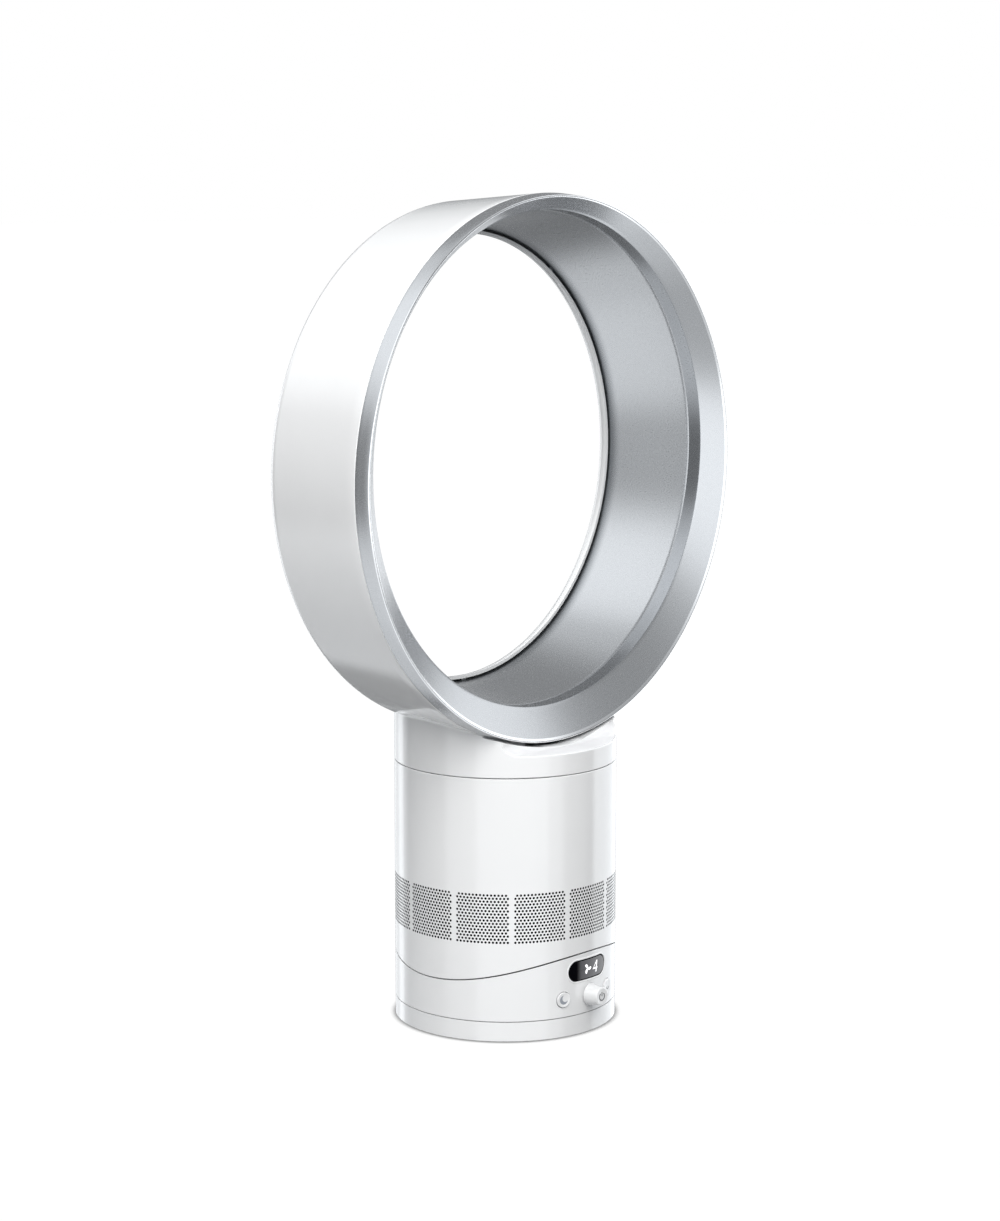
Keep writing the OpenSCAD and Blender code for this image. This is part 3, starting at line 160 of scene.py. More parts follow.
# Controls on the front wall
WINDOW_Z = middle("display_window", Z)
WINDOW_W = 2 * half("display_window", X) + 2 * FIT
WINDOW_H = 2 * half("display_window", Z) + 2 * FIT
DIAL_Z = middle("dial_knob", Z)
DIAL_R0 = half("dial_knob", X)
DIAL_R1 = 6.0
DIAL_LEN = 10.0
DIAL_Y1 = -low("dial_knob", Y)
DIAL_Y0 = DIAL_Y1 - DIAL_LEN
DIAL_STEM_R = 4.5
BUTTON_Z = middle("sleep_button", Z)
BUTTON_R = 5.0
BUTTON_RISE = 0.9
BUTTON_TOP = BODY_R + BUTTON_RISE
PRESS_AXIS = JOINTS["sleep_press"]["axis"]
BUTTON_ANGLE = math.degrees(math.atan2(PRESS_AXIS[X], PRESS_AXIS[Y]))


# Materials
def feed(tree, socket, value):
    """Links an input to another node's output, or sets it to a plain value."""
    if isinstance(value, bpy.types.NodeSocket):
        tree.links.new(value, socket)
    else:
        socket.default_value = value


def node(tree, kind, **inputs):
    """Adds a shader node; a name that isn't a socket sets a property."""
    n = tree.nodes.new(kind)
    for key, value in inputs.items():
        if key in n.inputs:
            feed(tree, n.inputs[key], value)
        else:
            setattr(n, key, value)
    return n


def maths(tree, operation, a, b=None):
    n = tree.nodes.new("ShaderNodeMath")
    n.operation = operation
    for socket, value in zip(n.inputs, (a, b)):
        if value is not None:
            feed(tree, socket, value)
    return n.outputs[0]


def noise(tree, scale, detail=3.0):
    place = node(tree, "ShaderNodeTexCoord").outputs["Object"]
    return node(tree, "ShaderNodeTexNoise", Vector=place, Scale=scale, Detail=detail).outputs["Fac"]


def object_place(tree, axis):
    """A point's place along one of the object's axes, in metres."""
    place = node(tree, "ShaderNodeTexCoord").outputs["Object"]
    return node(tree, "ShaderNodeSeparateXYZ", Vector=place).outputs[axis]


def remap(tree, value, start, end, low_out=0.0, high_out=1.0, smooth=False):
    n = tree.nodes.new("ShaderNodeMapRange")
    n.interpolation_type = "SMOOTHSTEP" if smooth else "LINEAR"
    tree.links.new(value, n.inputs["Value"])
    n.inputs["From Min"].default_value = start
    n.inputs["From Max"].default_value = end
    n.inputs["To Min"].default_value = low_out
    n.inputs["To Max"].default_value = high_out
    return n.outputs["Result"]


def mix_colour(tree, factor, a, b):
    n = tree.nodes.new("ShaderNodeMix")
    n.data_type = "RGBA"
    tree.links.new(factor, n.inputs[0])
    for socket, colour in ((n.inputs[6], a), (n.inputs[7], b)):
        feed(tree, socket, (*colour, 1) if isinstance(colour, tuple) else colour)
    return n.outputs[2]


# Ranges of the noise that mottles a colour and makes its gloss uneven
MOTTLE_RANGE = (0.35, 0.65)
UNEVEN_RANGE = (0.3, 0.7)
UNEVEN_SCALE_SHARE = 3.1
DARKER_SHARE = 0.94


def material(name, colour, second=None, scale=60.0, rough=(0.4, 0.5), metallic=0.0, bump=0.02,
             bump_scale=900.0, coat=0.0, coat_rough=0.05, ior=1.5, depth=0.0002):
    """A principled material with mottled colour, uneven roughness and a fine surface bump."""
    m = bpy.data.materials.new(name)
    m.use_nodes = True
    tree = m.node_tree
    shader = tree.nodes["Principled BSDF"]
    shader.inputs["Metallic"].default_value = metallic
    shader.inputs["IOR"].default_value = ior
    shader.inputs["Coat Weight"].default_value = coat
    shader.inputs["Coat Roughness"].default_value = coat_rough
    second = second or tuple(c * DARKER_SHARE for c in colour)
    mottle = remap(tree, noise(tree, scale), *MOTTLE_RANGE)
    tree.links.new(mix_colour(tree, mottle, colour, second), shader.inputs["Base Color"])
    uneven = remap(tree, noise(tree, scale * UNEVEN_SCALE_SHARE), *UNEVEN_RANGE, *rough)
    tree.links.new(uneven, shader.inputs["Roughness"])
    if bump:
        n = node(tree, "ShaderNodeBump", Strength=bump, Distance=depth)
        tree.links.new(noise(tree, bump_scale, detail=2.0), n.inputs["Height"])
        tree.links.new(n.outputs["Normal"], shader.inputs["Normal"])
    return m


def white_finishes():
    return {
        "white_gloss": material(
            "white_gloss_plastic", (0.834, 0.836, 0.84), (0.824, 0.826, 0.83), scale=25,
            rough=(0.16, 0.20), bump=0.03, bump_scale=260, coat=1.0, coat_rough=0.06, depth=0.0001),
        "white_satin": material(
            "white_satin_plastic", (0.80, 0.80, 0.81), scale=40, rough=(0.32, 0.4), bump=0.05,
            bump_scale=1500),
    }


def silver_paint(name):
    return material(name, (0.50, 0.508, 0.52), (0.49, 0.498, 0.51), scale=400, rough=(0.25, 0.28),
                    metallic=0.88, bump=0.006, bump_scale=3200)


def silver_finishes():
    return {
        "silver_metallic": silver_paint("silver_metallic_paint"),
        # Darker copy of the silver paint for the inner band: painted shade of the concave band
        "silver_shade": material(
            "silver_inner_band_painted_shade", (0.34, 0.35, 0.365), (0.325, 0.335, 0.35), scale=400,
            rough=(0.24, 0.29), metallic=0.9, bump=0.015, bump_scale=3200),
        # Polished crest, its colour much lighter than the paint: a painted highlight along the rounded
        # edge
        "silver_edge": material(
            "silver_polished_edge_painted_highlight", (0.88, 0.885, 0.895), (0.86, 0.865, 0.875), scale=300,
            rough=(0.16, 0.22), metallic=1.0, bump=0.02, bump_scale=3000),
    }


def slot_finish():
    """The silver paint, with painted shade that darkens it softly towards the air slot, where the nose
    curves away.
    """
    painted_slot_shade = (0.13, 0.14, 0.15)
    m = silver_paint("silver_paint_with_painted_slot_shade")
    tree = m.node_tree
    colour = tree.nodes["Principled BSDF"].inputs["Base Color"]
    paint = colour.links[0].from_socket
    y = object_place(tree, Y)
    # Painted shade: the colour darkens over the last stretch before the slot
    shade = remap(tree, y, (LIP_Y - SHADE_WIDTH) * MM, LIP_Y * MM, smooth=True)
    tree.links.new(mix_colour(tree, shade, paint, painted_slot_shade), colour)
    return m


def dark_finishes():
    return {
        "display": material(
            "display_module_plastic", (0.03, 0.035, 0.035), scale=120, rough=(0.3, 0.4)),
        "rubber": material(
            "dark_rubber", (0.03, 0.03, 0.032), (0.05, 0.05, 0.05), scale=200, rough=(0.7, 0.85),
            bump=0.3, bump_scale=1800),
        "black_plastic": material(
            "black_plastic", (0.012, 0.012, 0.013), (0.018, 0.018, 0.018), scale=90, rough=(0.45, 0.6),
            bump=0.12, bump_scale=1700),
        "magnet": material(
            "magnet_ferrite", (0.07, 0.07, 0.075), (0.11, 0.11, 0.11), scale=220, rough=(0.4, 0.55),
            metallic=0.4, bump=0.15),
        # Near-black for gaps, holes and the inside: painted shade where there is only shadow
        "deep_black": material(
            "painted_shadow_gap_black", (0.006, 0.006, 0.007), (0.01, 0.01, 0.011), scale=300,
            rough=(0.9, 1.0), bump=0.3, bump_scale=1500, ior=1.05),
        "foam": material(
            "charcoal_foam", (0.025, 0.025, 0.027), (0.05, 0.05, 0.05), scale=500, rough=(0.85, 0.95),
            bump=0.9),
    }


def inner_finishes():
    return {
        "grey_plastic": material(
            "grey_plastic", (0.22, 0.22, 0.23), scale=80, rough=(0.42, 0.52), bump=0.12,
            bump_scale=1600),
        "moulded_grey": material(
            "pale_moulded_plastic", (0.52, 0.53, 0.54), scale=60, rough=(0.38, 0.5), bump=0.1,
            bump_scale=1400),
        "acetal": material("ivory_acetal", (0.74, 0.72, 0.64), scale=60, rough=(0.28, 0.36), bump=0.05),
        "circuit_board": material(
            "circuit_board_green", (0.02, 0.13, 0.06), (0.04, 0.22, 0.10), scale=700, rough=(0.25, 0.4),
            bump=0.25, bump_scale=500),
    }


def metal_finishes():
    return {
        "steel": material(
            "bright_steel", (0.55, 0.55, 0.56), (0.47, 0.47, 0.48), scale=160, rough=(0.22, 0.34),
            metallic=1.0, bump=0.05, bump_scale=2500),
        "brass": material(
            "pinion_brass", (0.78, 0.58, 0.26), (0.68, 0.48, 0.2), scale=160, rough=(0.25, 0.36),
            metallic=1.0, bump=0.05, bump_scale=2500),
        "copper_winding": material(
            "copper_winding", (0.72, 0.34, 0.16), (0.42, 0.16, 0.07), scale=900, rough=(0.25, 0.4),
            metallic=1.0, bump=0.6, bump_scale=1500),
    }


def window_finish():
    """Smoked acrylic: a black mask on the left, and on the right the painted glow of the lit display,
    grey brightening to the right.
    """
    mask_colour = (0.002, 0.002, 0.003)
    painted_glow_left = (0.10, 0.10, 0.105)
    painted_glow_right = (0.34, 0.34, 0.35)
    gloss = 0.08
    m = material("smoked_window_acrylic_painted_glow", (0.003, 0.003, 0.004), scale=50, rough=(0.05, 0.08),
                 bump=0.0, ior=1.16)
    tree = m.node_tree
    shader = tree.nodes["Principled BSDF"]
    x = object_place(tree, X)
    mask_end = -WINDOW_W / 4 * MM
    mask_soft = WINDOW_H / 6 * MM
    lit = remap(tree, x, mask_end - mask_soft, mask_end + mask_soft, smooth=True)
    # Painted glow: the display's light as grey colour that brightens to the right
    bright = remap(tree, x, mask_end, WINDOW_W / 2 * MM)
    glow = mix_colour(tree, bright, painted_glow_left, painted_glow_right)
    speckle = remap(tree, noise(tree, 900), *UNEVEN_RANGE, 0.92, 1.0)
    tree.links.new(mix_colour(tree, lit, mask_colour, glow), shader.inputs["Base Color"])
    tree.links.new(maths(tree, "MULTIPLY", speckle, gloss), shader.inputs["Roughness"])
    return m


def icon_finishes():
    icon_glow = 0.6
    white = material("icon_white_light", (0.9, 0.9, 0.9), scale=200, bump=0.0)
    shader = white.node_tree.nodes["Principled BSDF"]
    shader.inputs["Emission Color"].default_value = (1, 1, 1, 1)
    shader.inputs["Emission Strength"].default_value = icon_glow
    grey = material("icon_grey_print", (0.045, 0.05, 0.06), (0.055, 0.06, 0.07), scale=200,
                    rough=(0.3, 0.4), bump=0.0)
    pale = material("icon_pale_print", (0.30, 0.32, 0.36), (0.33, 0.35, 0.39), scale=200,
                    rough=(0.3, 0.4), bump=0.0)
    return {"icon_white": white, "icon_grey": grey, "icon_pale": pale}


FINISH = {"black_window": window_finish(), "silver_slot": slot_finish()}
for group in (white_finishes, silver_finishes, dark_finishes, inner_finishes, metal_finishes,
              icon_finishes):
    FINISH.update(group())


# Mesh helpers
def mesh(name, vertices, faces):
    """A mesh from points in millimetres; a closed one gets its faces turned outward."""
    data = bpy.data.meshes.new(name)
    data.from_pydata((np.asarray(vertices, float) * MM).tolist(), [], [list(f) for f in faces])
    data.update()
    body = bmesh.new()
    body.from_mesh(data)
    closed = all(edge.is_manifold for edge in body.edges)
    inside_out = closed and body.calc_volume(signed=True) < 0
    body.free()
    if inside_out:
        data.flip_normals()
    return data


def dress(data, finishes, face_finish=None, angle=32):
    """Gives a mesh its materials, and smooth shading except over sharp edges."""
    for name in finishes:
        data.materials.append(FINISH[name])
    if face_finish is not None:
        data.polygons.foreach_set("material_index", face_finish)
    data.polygons.foreach_set("use_smooth", [True] * len(data.polygons))
    data.set_sharp_from_angle(angle=math.radians(angle))


def place(data, slot, body, replaces=()):
    """Adds a mesh to the scene as a piece that rides on a body."""
    piece_object = add_object(data.name, data)
    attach(piece_object, body)
    if replaces:
        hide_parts(*replaces)
    return piece_object


def piece(name, vertices, faces, finishes, body, replaces=(), face_finish=None, angle=32, slot=None):
    data = mesh(name, vertices, faces)
    dress(data, finishes, face_finish, angle)
    return place(data, slot or finishes[0], body, replaces)


def grid_faces(rows, columns, close_rows=False, close_columns=True, flip=False):
    faces = []
    for i in range(rows if close_rows else rows - 1):
        i2 = (i + 1) % rows
        for j in range(columns if close_columns else columns - 1):
            j2 = (j + 1) % columns
            quad = (i * columns + j, i * columns + j2, i2 * columns + j2, i2 * columns + j)
            faces.append(quad[::-1] if flip else quad)
    return faces


def arc(centre_r, centre_y, r, start, end, steps):
    """Points (radius, along) of an arc in a section, angles in degrees from the radial direction."""
    angles = np.radians(np.linspace(start, end, steps + 1))
    return [(centre_r + r * math.cos(a), centre_y + r * math.sin(a)) for a in angles]


def between(start, end, count):
    """Points inside a straight stretch, without its ends."""
    start, end = np.array(start, float), np.array(end, float)
    return [tuple(start + (end - start) * k / (count + 1)) for k in range(1, count + 1)]


def at_height(points, z):
    return [(r, y, z) for r, y in points]


def turn_y(profile, steps):
    """Circles around axes along Y; the profile has (radius, y, height of the axis)."""
    t = np.linspace(0, 2 * math.pi, steps, endpoint=False)
    rows = [np.stack([r * np.cos(t), np.full(steps, y), z + r * np.sin(t)], 1) for r, y, z in profile]
    return np.concatenate(rows)


def turn_z(profile, steps):
    """Circles around the Z axis; the profile has (radius, height)."""
    t = np.linspace(0, 2 * math.pi, steps, endpoint=False)
    rows = [np.stack([r * np.cos(t), r * np.sin(t), np.full(steps, z)], 1) for r, z in profile]
    return np.concatenate(rows)


def read(items, attribute, width=1, kind=np.int32):
    numbers = np.zeros(len(items) * width, kind)
    items.foreach_get(attribute, numbers)
    return numbers


def mesh_arrays(data):
    """Points in millimetres, each corner's point, each face's first corner, and corners per face."""
    points = read(data.vertices, "co", 3, float).reshape(-1, 3) / MM
    corners = read(data.loops, "vertex_index")
    starts = read(data.polygons, "loop_start")
    totals = read(data.polygons, "loop_total")
    return points, corners, starts, totals


def set_normals(data, on_surface, direction):
    """Gives the faces whose points all lie on a surface that surface's own normals."""
    points, corners, starts, totals = mesh_arrays(data)
    normals = read(data.corner_normals, "vector", 3, float).reshape(-1, 3)
    whole_face = np.logical_and.reduceat(on_surface(points)[corners], starts)
    chosen = np.repeat(whole_face, totals)
    exact = direction(points[corners][chosen])
    normals[chosen] = exact / np.linalg.norm(exact, axis=1)[:, None]
    data.normals_split_custom_set(normals.tolist())


def exact_wall_normals(data, r):
    """Radial normals for the faces on an upright cylinder, which uneven faces would blur."""
    tolerance = 0.004

    def lies_on_wall(points):
        return np.abs(np.hypot(points[:, X], points[:, Y]) - r) < tolerance

    def outward(points):
        return points * [1, 1, 0]
    set_normals(data, lies_on_wall, outward)


# Air ring
def ring_piece(name, path, finishes, replaced, face_finish=None, angle=40, flip=True, slot=None):
    """A piece turned around the ring's axis."""
    vertices = turn_y(path, RING_STEPS)
    faces = grid_faces(len(path), RING_STEPS, close_rows=True, flip=flip)
    piece(name, vertices, faces, finishes, "air_ring", [replaced], face_finish, angle, slot)


def rear_casing():
    """White casing: front edge with its bright rounding, tapered outside, corner, rear face and lip."""
    edge = 0.8
    lip_end = 185
    path = arc(RING_R - edge, TRIM_JOINT + edge, edge, -90, 0, 5)
    path += between((RING_R, TRIM_JOINT + edge), (REAR_R, CORNER_Y), 8)
    path += arc(REAR_R - CORNER_R, CORNER_Y, CORNER_R, 0, 90, 16)
    path = at_height(path, RING_Z)
    path += between((REAR_R - CORNER_R, RING_REAR, RING_Z), (LIP_MID_R, RING_REAR, LIP_Z), 7)
    path += at_height(arc(LIP_MID_R, LIP_Y, LIP_R, 90, lip_end, 22), LIP_Z)
    path += at_height(arc(LIP_MID_R, LIP_Y, LIP_R - RING_WALL, lip_end, 90, 10), LIP_Z)
    path += at_height(arc(REAR_R - CORNER_R, CORNER_Y, CORNER_R - RING_WALL, 90, 0, 8), RING_Z)
    path += [(RING_R - RING_WALL, TRIM_JOINT, RING_Z)]
    ring_piece("rear_casing_shell", path, ["white_gloss"], "rear_casing", angle=32, flip=False)


def front_trim():
    """Silver trim: outer band, polished crest with a painted highlight, flare, and the inner band
    behind the flare, painted darker as shade.
    """
    edge = 0.5
    crest = 0.8
    crest_turn = (-5, -127)
    flare_turn = (232, 180)
    flare_steps = 14
    path = at_height(arc(RING_R - edge, TRIM_JOINT - edge, edge, 90, 0, 4), RING_Z)
    band_front = (RING_R - CREST_IN / 2, RING_FRONT + CREST_IN / 2)
    path += at_height(between((RING_R, TRIM_JOINT - edge), band_front, 4), RING_Z)
    crest_start = len(path)
    path += at_height(arc(CREST_R, RING_FRONT + crest, crest, *crest_turn, 8), RING_Z)
    crest_end = len(path)
    flare_edge = (BAND_R + edge, FLARE_Y - edge * 0.8, NOZZLE_Z)
    path += between(path[-1], flare_edge, flare_steps)
    band_start = len(path)
    path += at_height(arc(BAND_R + edge, FLARE_Y + edge * 0.4, edge, *flare_turn, 3), NOZZLE_Z)
    path += at_height(between((BAND_R, FLARE_Y + edge), (BAND_R, BAND_Y), 3), NOZZLE_Z)
    band_end = len(path)
    path += at_height([(BAND_R, BAND_Y), (BAND_R + TRIM_WALL, BAND_Y),
                       (BAND_R + TRIM_WALL, FLARE_Y + TRIM_WALL)], NOZZLE_Z)
    path += at_height([(RING_R - 2 * TRIM_WALL, RING_FRONT + 2 * TRIM_WALL),
                       (RING_R - 2 * TRIM_WALL, TRIM_JOINT)], RING_Z)
    finish = np.zeros(len(path) * RING_STEPS, np.int32)
    # The crest gets the lighter polished finish: painted highlight line
    finish[crest_start * RING_STEPS:crest_end * RING_STEPS] = 1
    # The inner band gets the darker copy: painted shade
    finish[band_start * RING_STEPS:band_end * RING_STEPS] = 2
    finishes = ["silver_metallic", "silver_edge", "silver_shade"]
    ring_piece("front_trim_rim", path, finishes, "front_trim", finish)


def coanda():
    """Silver surface that the air follows, from the inner band back to its nose at the slot."""
    rear_r = LIP_MID_R - NOSE_R
    edge = 0.15
    path = [(BAND_R + TRIM_WALL, BAND_Y, NOZZLE_Z), (BAND_R + edge, BAND_Y, NOZZLE_Z),
            (BAND_R, BAND_Y + edge, NOZZLE_Z)]
    path += between((BAND_R, BAND_Y + edge, NOZZLE_Z), (rear_r, LIP_Y, LIP_Z), 24)
    path += at_height(arc(LIP_MID_R, LIP_Y, NOSE_R, 180, 90, 16), LIP_Z)
    path += at_height(arc(LIP_MID_R, LIP_Y, NOSE_R - TRIM_WALL, 90, 180, 6), LIP_Z)
    ring_piece("coanda_surface", path, ["silver_slot"], "coanda_ring", slot="silver_metallic")


# Body casing with its finely perforated inlet
def seam_height(r, angles):
    """Height of the curved tilt seam on an upright cylinder of radius r."""
    return TILT_Z - np.sqrt(SHOE_R ** 2 - (r * np.sin(angles)) ** 2)


class Wall:
    """Collects the casing's rings of points, and the faces between them."""

    def __init__(self, angles):
        self.angles = angles
        self.count = len(angles)
        self.vertices = []
        self.faces = []
        self.finish = []

    def ring(self, r, z):
        start = len(self.vertices)
        heights = np.broadcast_to(z, self.count)
        points = [r * np.cos(self.angles), r * np.sin(self.angles), heights]
        self.vertices.extend(np.stack(points, 1).tolist())
        return start

    def face(self, corners, finish=0):
        self.faces.append(corners)
        self.finish.append(finish)

    def cell(self, a, b, j):
        k = (j + 1) % self.count
        self.face((a + j, a + k, b + k, b + j))

    def strips(self, rings):
        for a, b in zip(rings, rings[1:]):
            for j in range(self.count):
                self.cell(a, b, j)

    def holed_cell(self, a, b, j, z):
        """Two cells side by side with one round hole through them."""
        middle_angle = self.angles[j + 1]
        start = len(self.vertices)
        for r in (BODY_R, BODY_R - HOLE_DEPTH):
            for i in range(HOLE_SIDES):
                turn = -math.pi / 2 + 2 * math.pi * i / HOLE_SIDES
                t = middle_angle + HOLE_R * math.cos(turn) / BODY_R
                self.vertices.append((r * math.cos(t), r * math.sin(t), z + HOLE_R * math.sin(turn)))
        side = HOLE_SIDES // 2
        right = [start + i for i in range(side + 1)]
        left = [start + (side + i) % HOLE_SIDES for i in range(side + 1)]
        self.face([a + j + 1, a + j + 2, b + j + 2, b + j + 1] + right[::-1])
        self.face([b + j + 1, b + j, a + j, a + j + 1] + left[::-1])
        # Hole walls take the second finish, painted black as shade
        for i in range(HOLE_SIDES):
            k = (i + 1) % HOLE_SIDES
            self.face((start + i, start + k, start + HOLE_SIDES + k, start + HOLE_SIDES + i), 1)


def panel_angles():
    cell = (PANEL_PITCH - BAR_ANGLE) / HOLE_COLUMNS
    start = -90 - (PANEL_PITCH - BAR_ANGLE) / 2
    angles = []
    for panel in range(PANELS):
        first = start + panel * PANEL_PITCH
        angles += [first + column * cell for column in range(HOLE_COLUMNS + 1)]
        angles.append(first + PANEL_PITCH - BAR_ANGLE / 2)
    return np.radians(angles)


def perforate(wall, lines, pitch):
    per_panel = HOLE_COLUMNS + 2
    for row in range(HOLE_ROWS):
        a, b = lines[row], lines[row + 1]
        z = PANEL_Z0 + (row + 0.5) * pitch
        shift = row % 2
        for panel in range(PANELS):
            j0 = panel * per_panel
            whole = [j0 + HOLE_COLUMNS, j0 + HOLE_COLUMNS + 1]
            if shift:
                whole += [j0, j0 + HOLE_COLUMNS - 1]
            for j in whole:
                wall.cell(a, b, j)
            for column in range(shift, HOLE_COLUMNS - shift, 2):
                wall.holed_cell(a, b, j0 + column, z)


def body_casing():
    """White tube from the tilt seam up; its inside, its underside and its hole walls are painted black
    as shade.
    """
    painted_shade_strips = 5
    wall = Wall(panel_angles())
    low_out = seam_height(BODY_R, wall.angles)
    low_in = seam_height(INNER_R, wall.angles)
    rounding = np.radians(np.linspace(0, 90, 5))
    inner_top = wall.ring(INNER_R, CASING_TOP)
    lower = [inner_top, wall.ring(INNER_R, low_in + FIT), wall.ring(INNER_R + FIT, low_in)]
    for a in rounding:
        r = BODY_R - EDGE_R + EDGE_R * math.sin(a)
        lower.append(wall.ring(r, low_out + EDGE_R * (1 - math.cos(a))))
    for share in (0.25, 0.5, 0.75):
        lower.append(wall.ring(BODY_R, low_out + EDGE_R + (PANEL_Z0 - low_out - EDGE_R) * share))
    pitch = (PANEL_Z1 - PANEL_Z0) / HOLE_ROWS
    lines = [wall.ring(BODY_R, PANEL_Z0 + k * pitch) for k in range(HOLE_ROWS + 1)]
    wall.strips(lower + lines[:1])
    # The inside and the underside in the seam are painted black as shade
    wall.finish[:painted_shade_strips * wall.count] = [1] * (painted_shade_strips * wall.count)
    perforate(wall, lines, pitch)
    upper = [lines[-1]]
    for share in (0.2, 0.4, 0.6, 0.8):
        upper.append(wall.ring(BODY_R, PANEL_Z1 + (CASING_TOP - EDGE_R - PANEL_Z1) * share))
    for a in rounding:
        upper.append(wall.ring(BODY_R - EDGE_R + EDGE_R * math.cos(a),
                               CASING_TOP - EDGE_R + EDGE_R * math.sin(a)))
    wall.strips(upper + [inner_top])
    casing = piece("body_casing_shell", wall.vertices, wall.faces, ["white_gloss", "deep_black"],
                   "fan_body", ["body_casing", "inlet_grille"], wall.finish, angle=30)
    exact_wall_normals(casing.data, BODY_R)


def dust_screen():
    """Black sheet behind the inlet's holes: painted shade that makes the holes look dark."""
    thickness = 0.5
    lap = 1.0
    outer = BODY_R - HOLE_DEPTH - FIT
    inner = outer - thickness
    section = [(outer, PANEL_Z0 - lap), (outer, PANEL_Z1 + lap), (inner, PANEL_Z1 + lap),
               (inner, PANEL_Z0 - lap)]
    faces = grid_faces(len(section), TURN_STEPS, close_rows=True, flip=True)
    piece("inlet_dust_screen", turn_z(section, TURN_STEPS), faces, ["deep_black"], "fan_body",
          slot="foam")


# Neck collar, cut to the ring's underside
def shelf_height(y):
    """Top of the collar before the ring is cut out of it: shelf, fillet, and the part behind it."""
    fillet_end = RING_FRONT + TRIM_GAP
    fillet_start = fillet_end - SHELF_FILLET
    rise = np.clip(y - fillet_start, 0, SHELF_FILLET)
    height = SHELF_Z + SHELF_FILLET - np.sqrt(SHELF_FILLET ** 2 - rise ** 2)
    return np.where(y < fillet_end, height, COLLAR_TOP)


def on_shelf(points):
    """Tells which points lie on the shelf or its fillet, inside the rounded edge."""
    margin = 0.01
    tolerance = 0.02
    inside = np.hypot(points[:, X], points[:, Y]) < BODY_R - SHELF_EDGE_R + margin
    in_front = points[:, Y] < RING_FRONT + TRIM_GAP - margin
    touching = np.abs(points[:, Z] - shelf_height(points[:, Y])) < tolerance
    return inside & in_front & touching


def shelf_direction(points):
    """Directions out of the shelf and its fillet."""
    margin = 0.01
    fillet_start = RING_FRONT + TRIM_GAP - SHELF_FILLET
    lean = np.clip(points[:, Y] - fillet_start, 0, SHELF_FILLET - margin) / SHELF_FILLET
    return np.stack([0 * lean, -lean, np.sqrt(1 - lean ** 2)], 1)


def collar_blank():
    """Solid neck with a rounded lower edge, a rounded shelf edge and a finely stepped top."""
    core_r = 43.0
    last_step_r = 44
    step_width = 0.6
    t = np.linspace(0, 2 * math.pi, CUT_STEPS, endpoint=False)
    rows = []

    def row(r, z):
        rows.append(np.stack([r * np.cos(t), r * np.sin(t), np.broadcast_to(z, CUT_STEPS)], 1))

    bore = SKIRT_R - SKIRT_WALL
    floor_z = SHELF_Z - 2 * WALL
    row(bore, floor_z)
    row(bore, COLLAR_Z)
    for a in np.radians(np.linspace(0, 90, 5)):
        row(BODY_R - EDGE_R + EDGE_R * math.sin(a), COLLAR_Z + EDGE_R * (1 - math.cos(a)))
    edge_height = shelf_height(BODY_R * np.sin(t))
    for a in np.radians(np.linspace(0, 90, 6)):
        r = BODY_R - SHELF_EDGE_R + SHELF_EDGE_R * math.cos(a)
        row(r, edge_height - SHELF_EDGE_R * (1 - math.sin(a)))
    for r in np.arange(BODY_R - SHELF_EDGE_R - step_width, last_step_r, -step_width):
        row(r, shelf_height(r * np.sin(t)))
    row(core_r, floor_z)
    faces = grid_faces(len(rows), CUT_STEPS, close_rows=True)
    return mesh("neck_collar_shell", np.concatenate(rows), faces)


def ring_cutter():
    """The ring's outside with its gap, reaching well in front of the neck."""
    axis_r = 1.0
    front = -2 * BODY_R
    outline = [(axis_r, front), (RING_R + TRIM_GAP, front), (RING_R + TRIM_GAP, TRIM_JOINT),
               (RING_R, TRIM_JOINT)]
    outline += arc(REAR_R - CORNER_R, CORNER_Y, CORNER_R, 0, 90, 16)
    outline += [(axis_r, RING_REAR)]
    profile = at_height(outline, RING_Z)
    faces = grid_faces(len(profile), CUT_STEPS, close_rows=True)
    data = mesh("ring_cutter", turn_y(profile, CUT_STEPS), faces)
    return add_object("ring_cutter", data)


def cut(data, cutter):
    """The mesh with the cutter's shape taken out of it."""
    blank = add_object("blank", data)
    modifier = blank.modifiers.new("cut", "BOOLEAN")
    modifier.operation = "DIFFERENCE"
    modifier.solver = "EXACT"
    modifier.object = cutter
    graph = bpy.context.evaluated_depsgraph_get()
    result = bpy.data.meshes.new_from_object(blank.evaluated_get(graph))
    name = data.name
    for leftover in (blank, cutter):
        bpy.data.objects.remove(leftover)
    data.name = name + "_blank"
    result.name = name
    return result


def neck_collar():
    data = cut(collar_blank(), ring_cutter())
    points, corners, starts, _ = mesh_arrays(data)
    shelf_faces = np.logical_and.reduceat(on_shelf(points)[corners], starts)
    dress(data, ["white_gloss", "white_satin"], shelf_faces.astype(np.int32), angle=30)
    exact_wall_normals(data, BODY_R)
    set_normals(data, on_shelf, shelf_direction)
    place(data, "white_gloss", "air_ring", ["neck_collar"])


def neck_skirt():
    """Skirt that stands in the twist lock, with its lugs."""
    chamfer = 0.3
    top = COLLAR_Z + FIT
    inner = SKIRT_R - SKIRT_WALL
    section = [(inner, SKIRT_Z), (SKIRT_R - chamfer, SKIRT_Z), (SKIRT_R, SKIRT_Z + chamfer),
               (SKIRT_R, top), (inner, top)]
    faces = grid_faces(len(section), TURN_STEPS, close_rows=True)
    piece("neck_skirt", turn_z(section, TURN_STEPS), faces, ["white_gloss"], "air_ring")
    for lug in range(LUG_COUNT):
        neck_lug(lug)


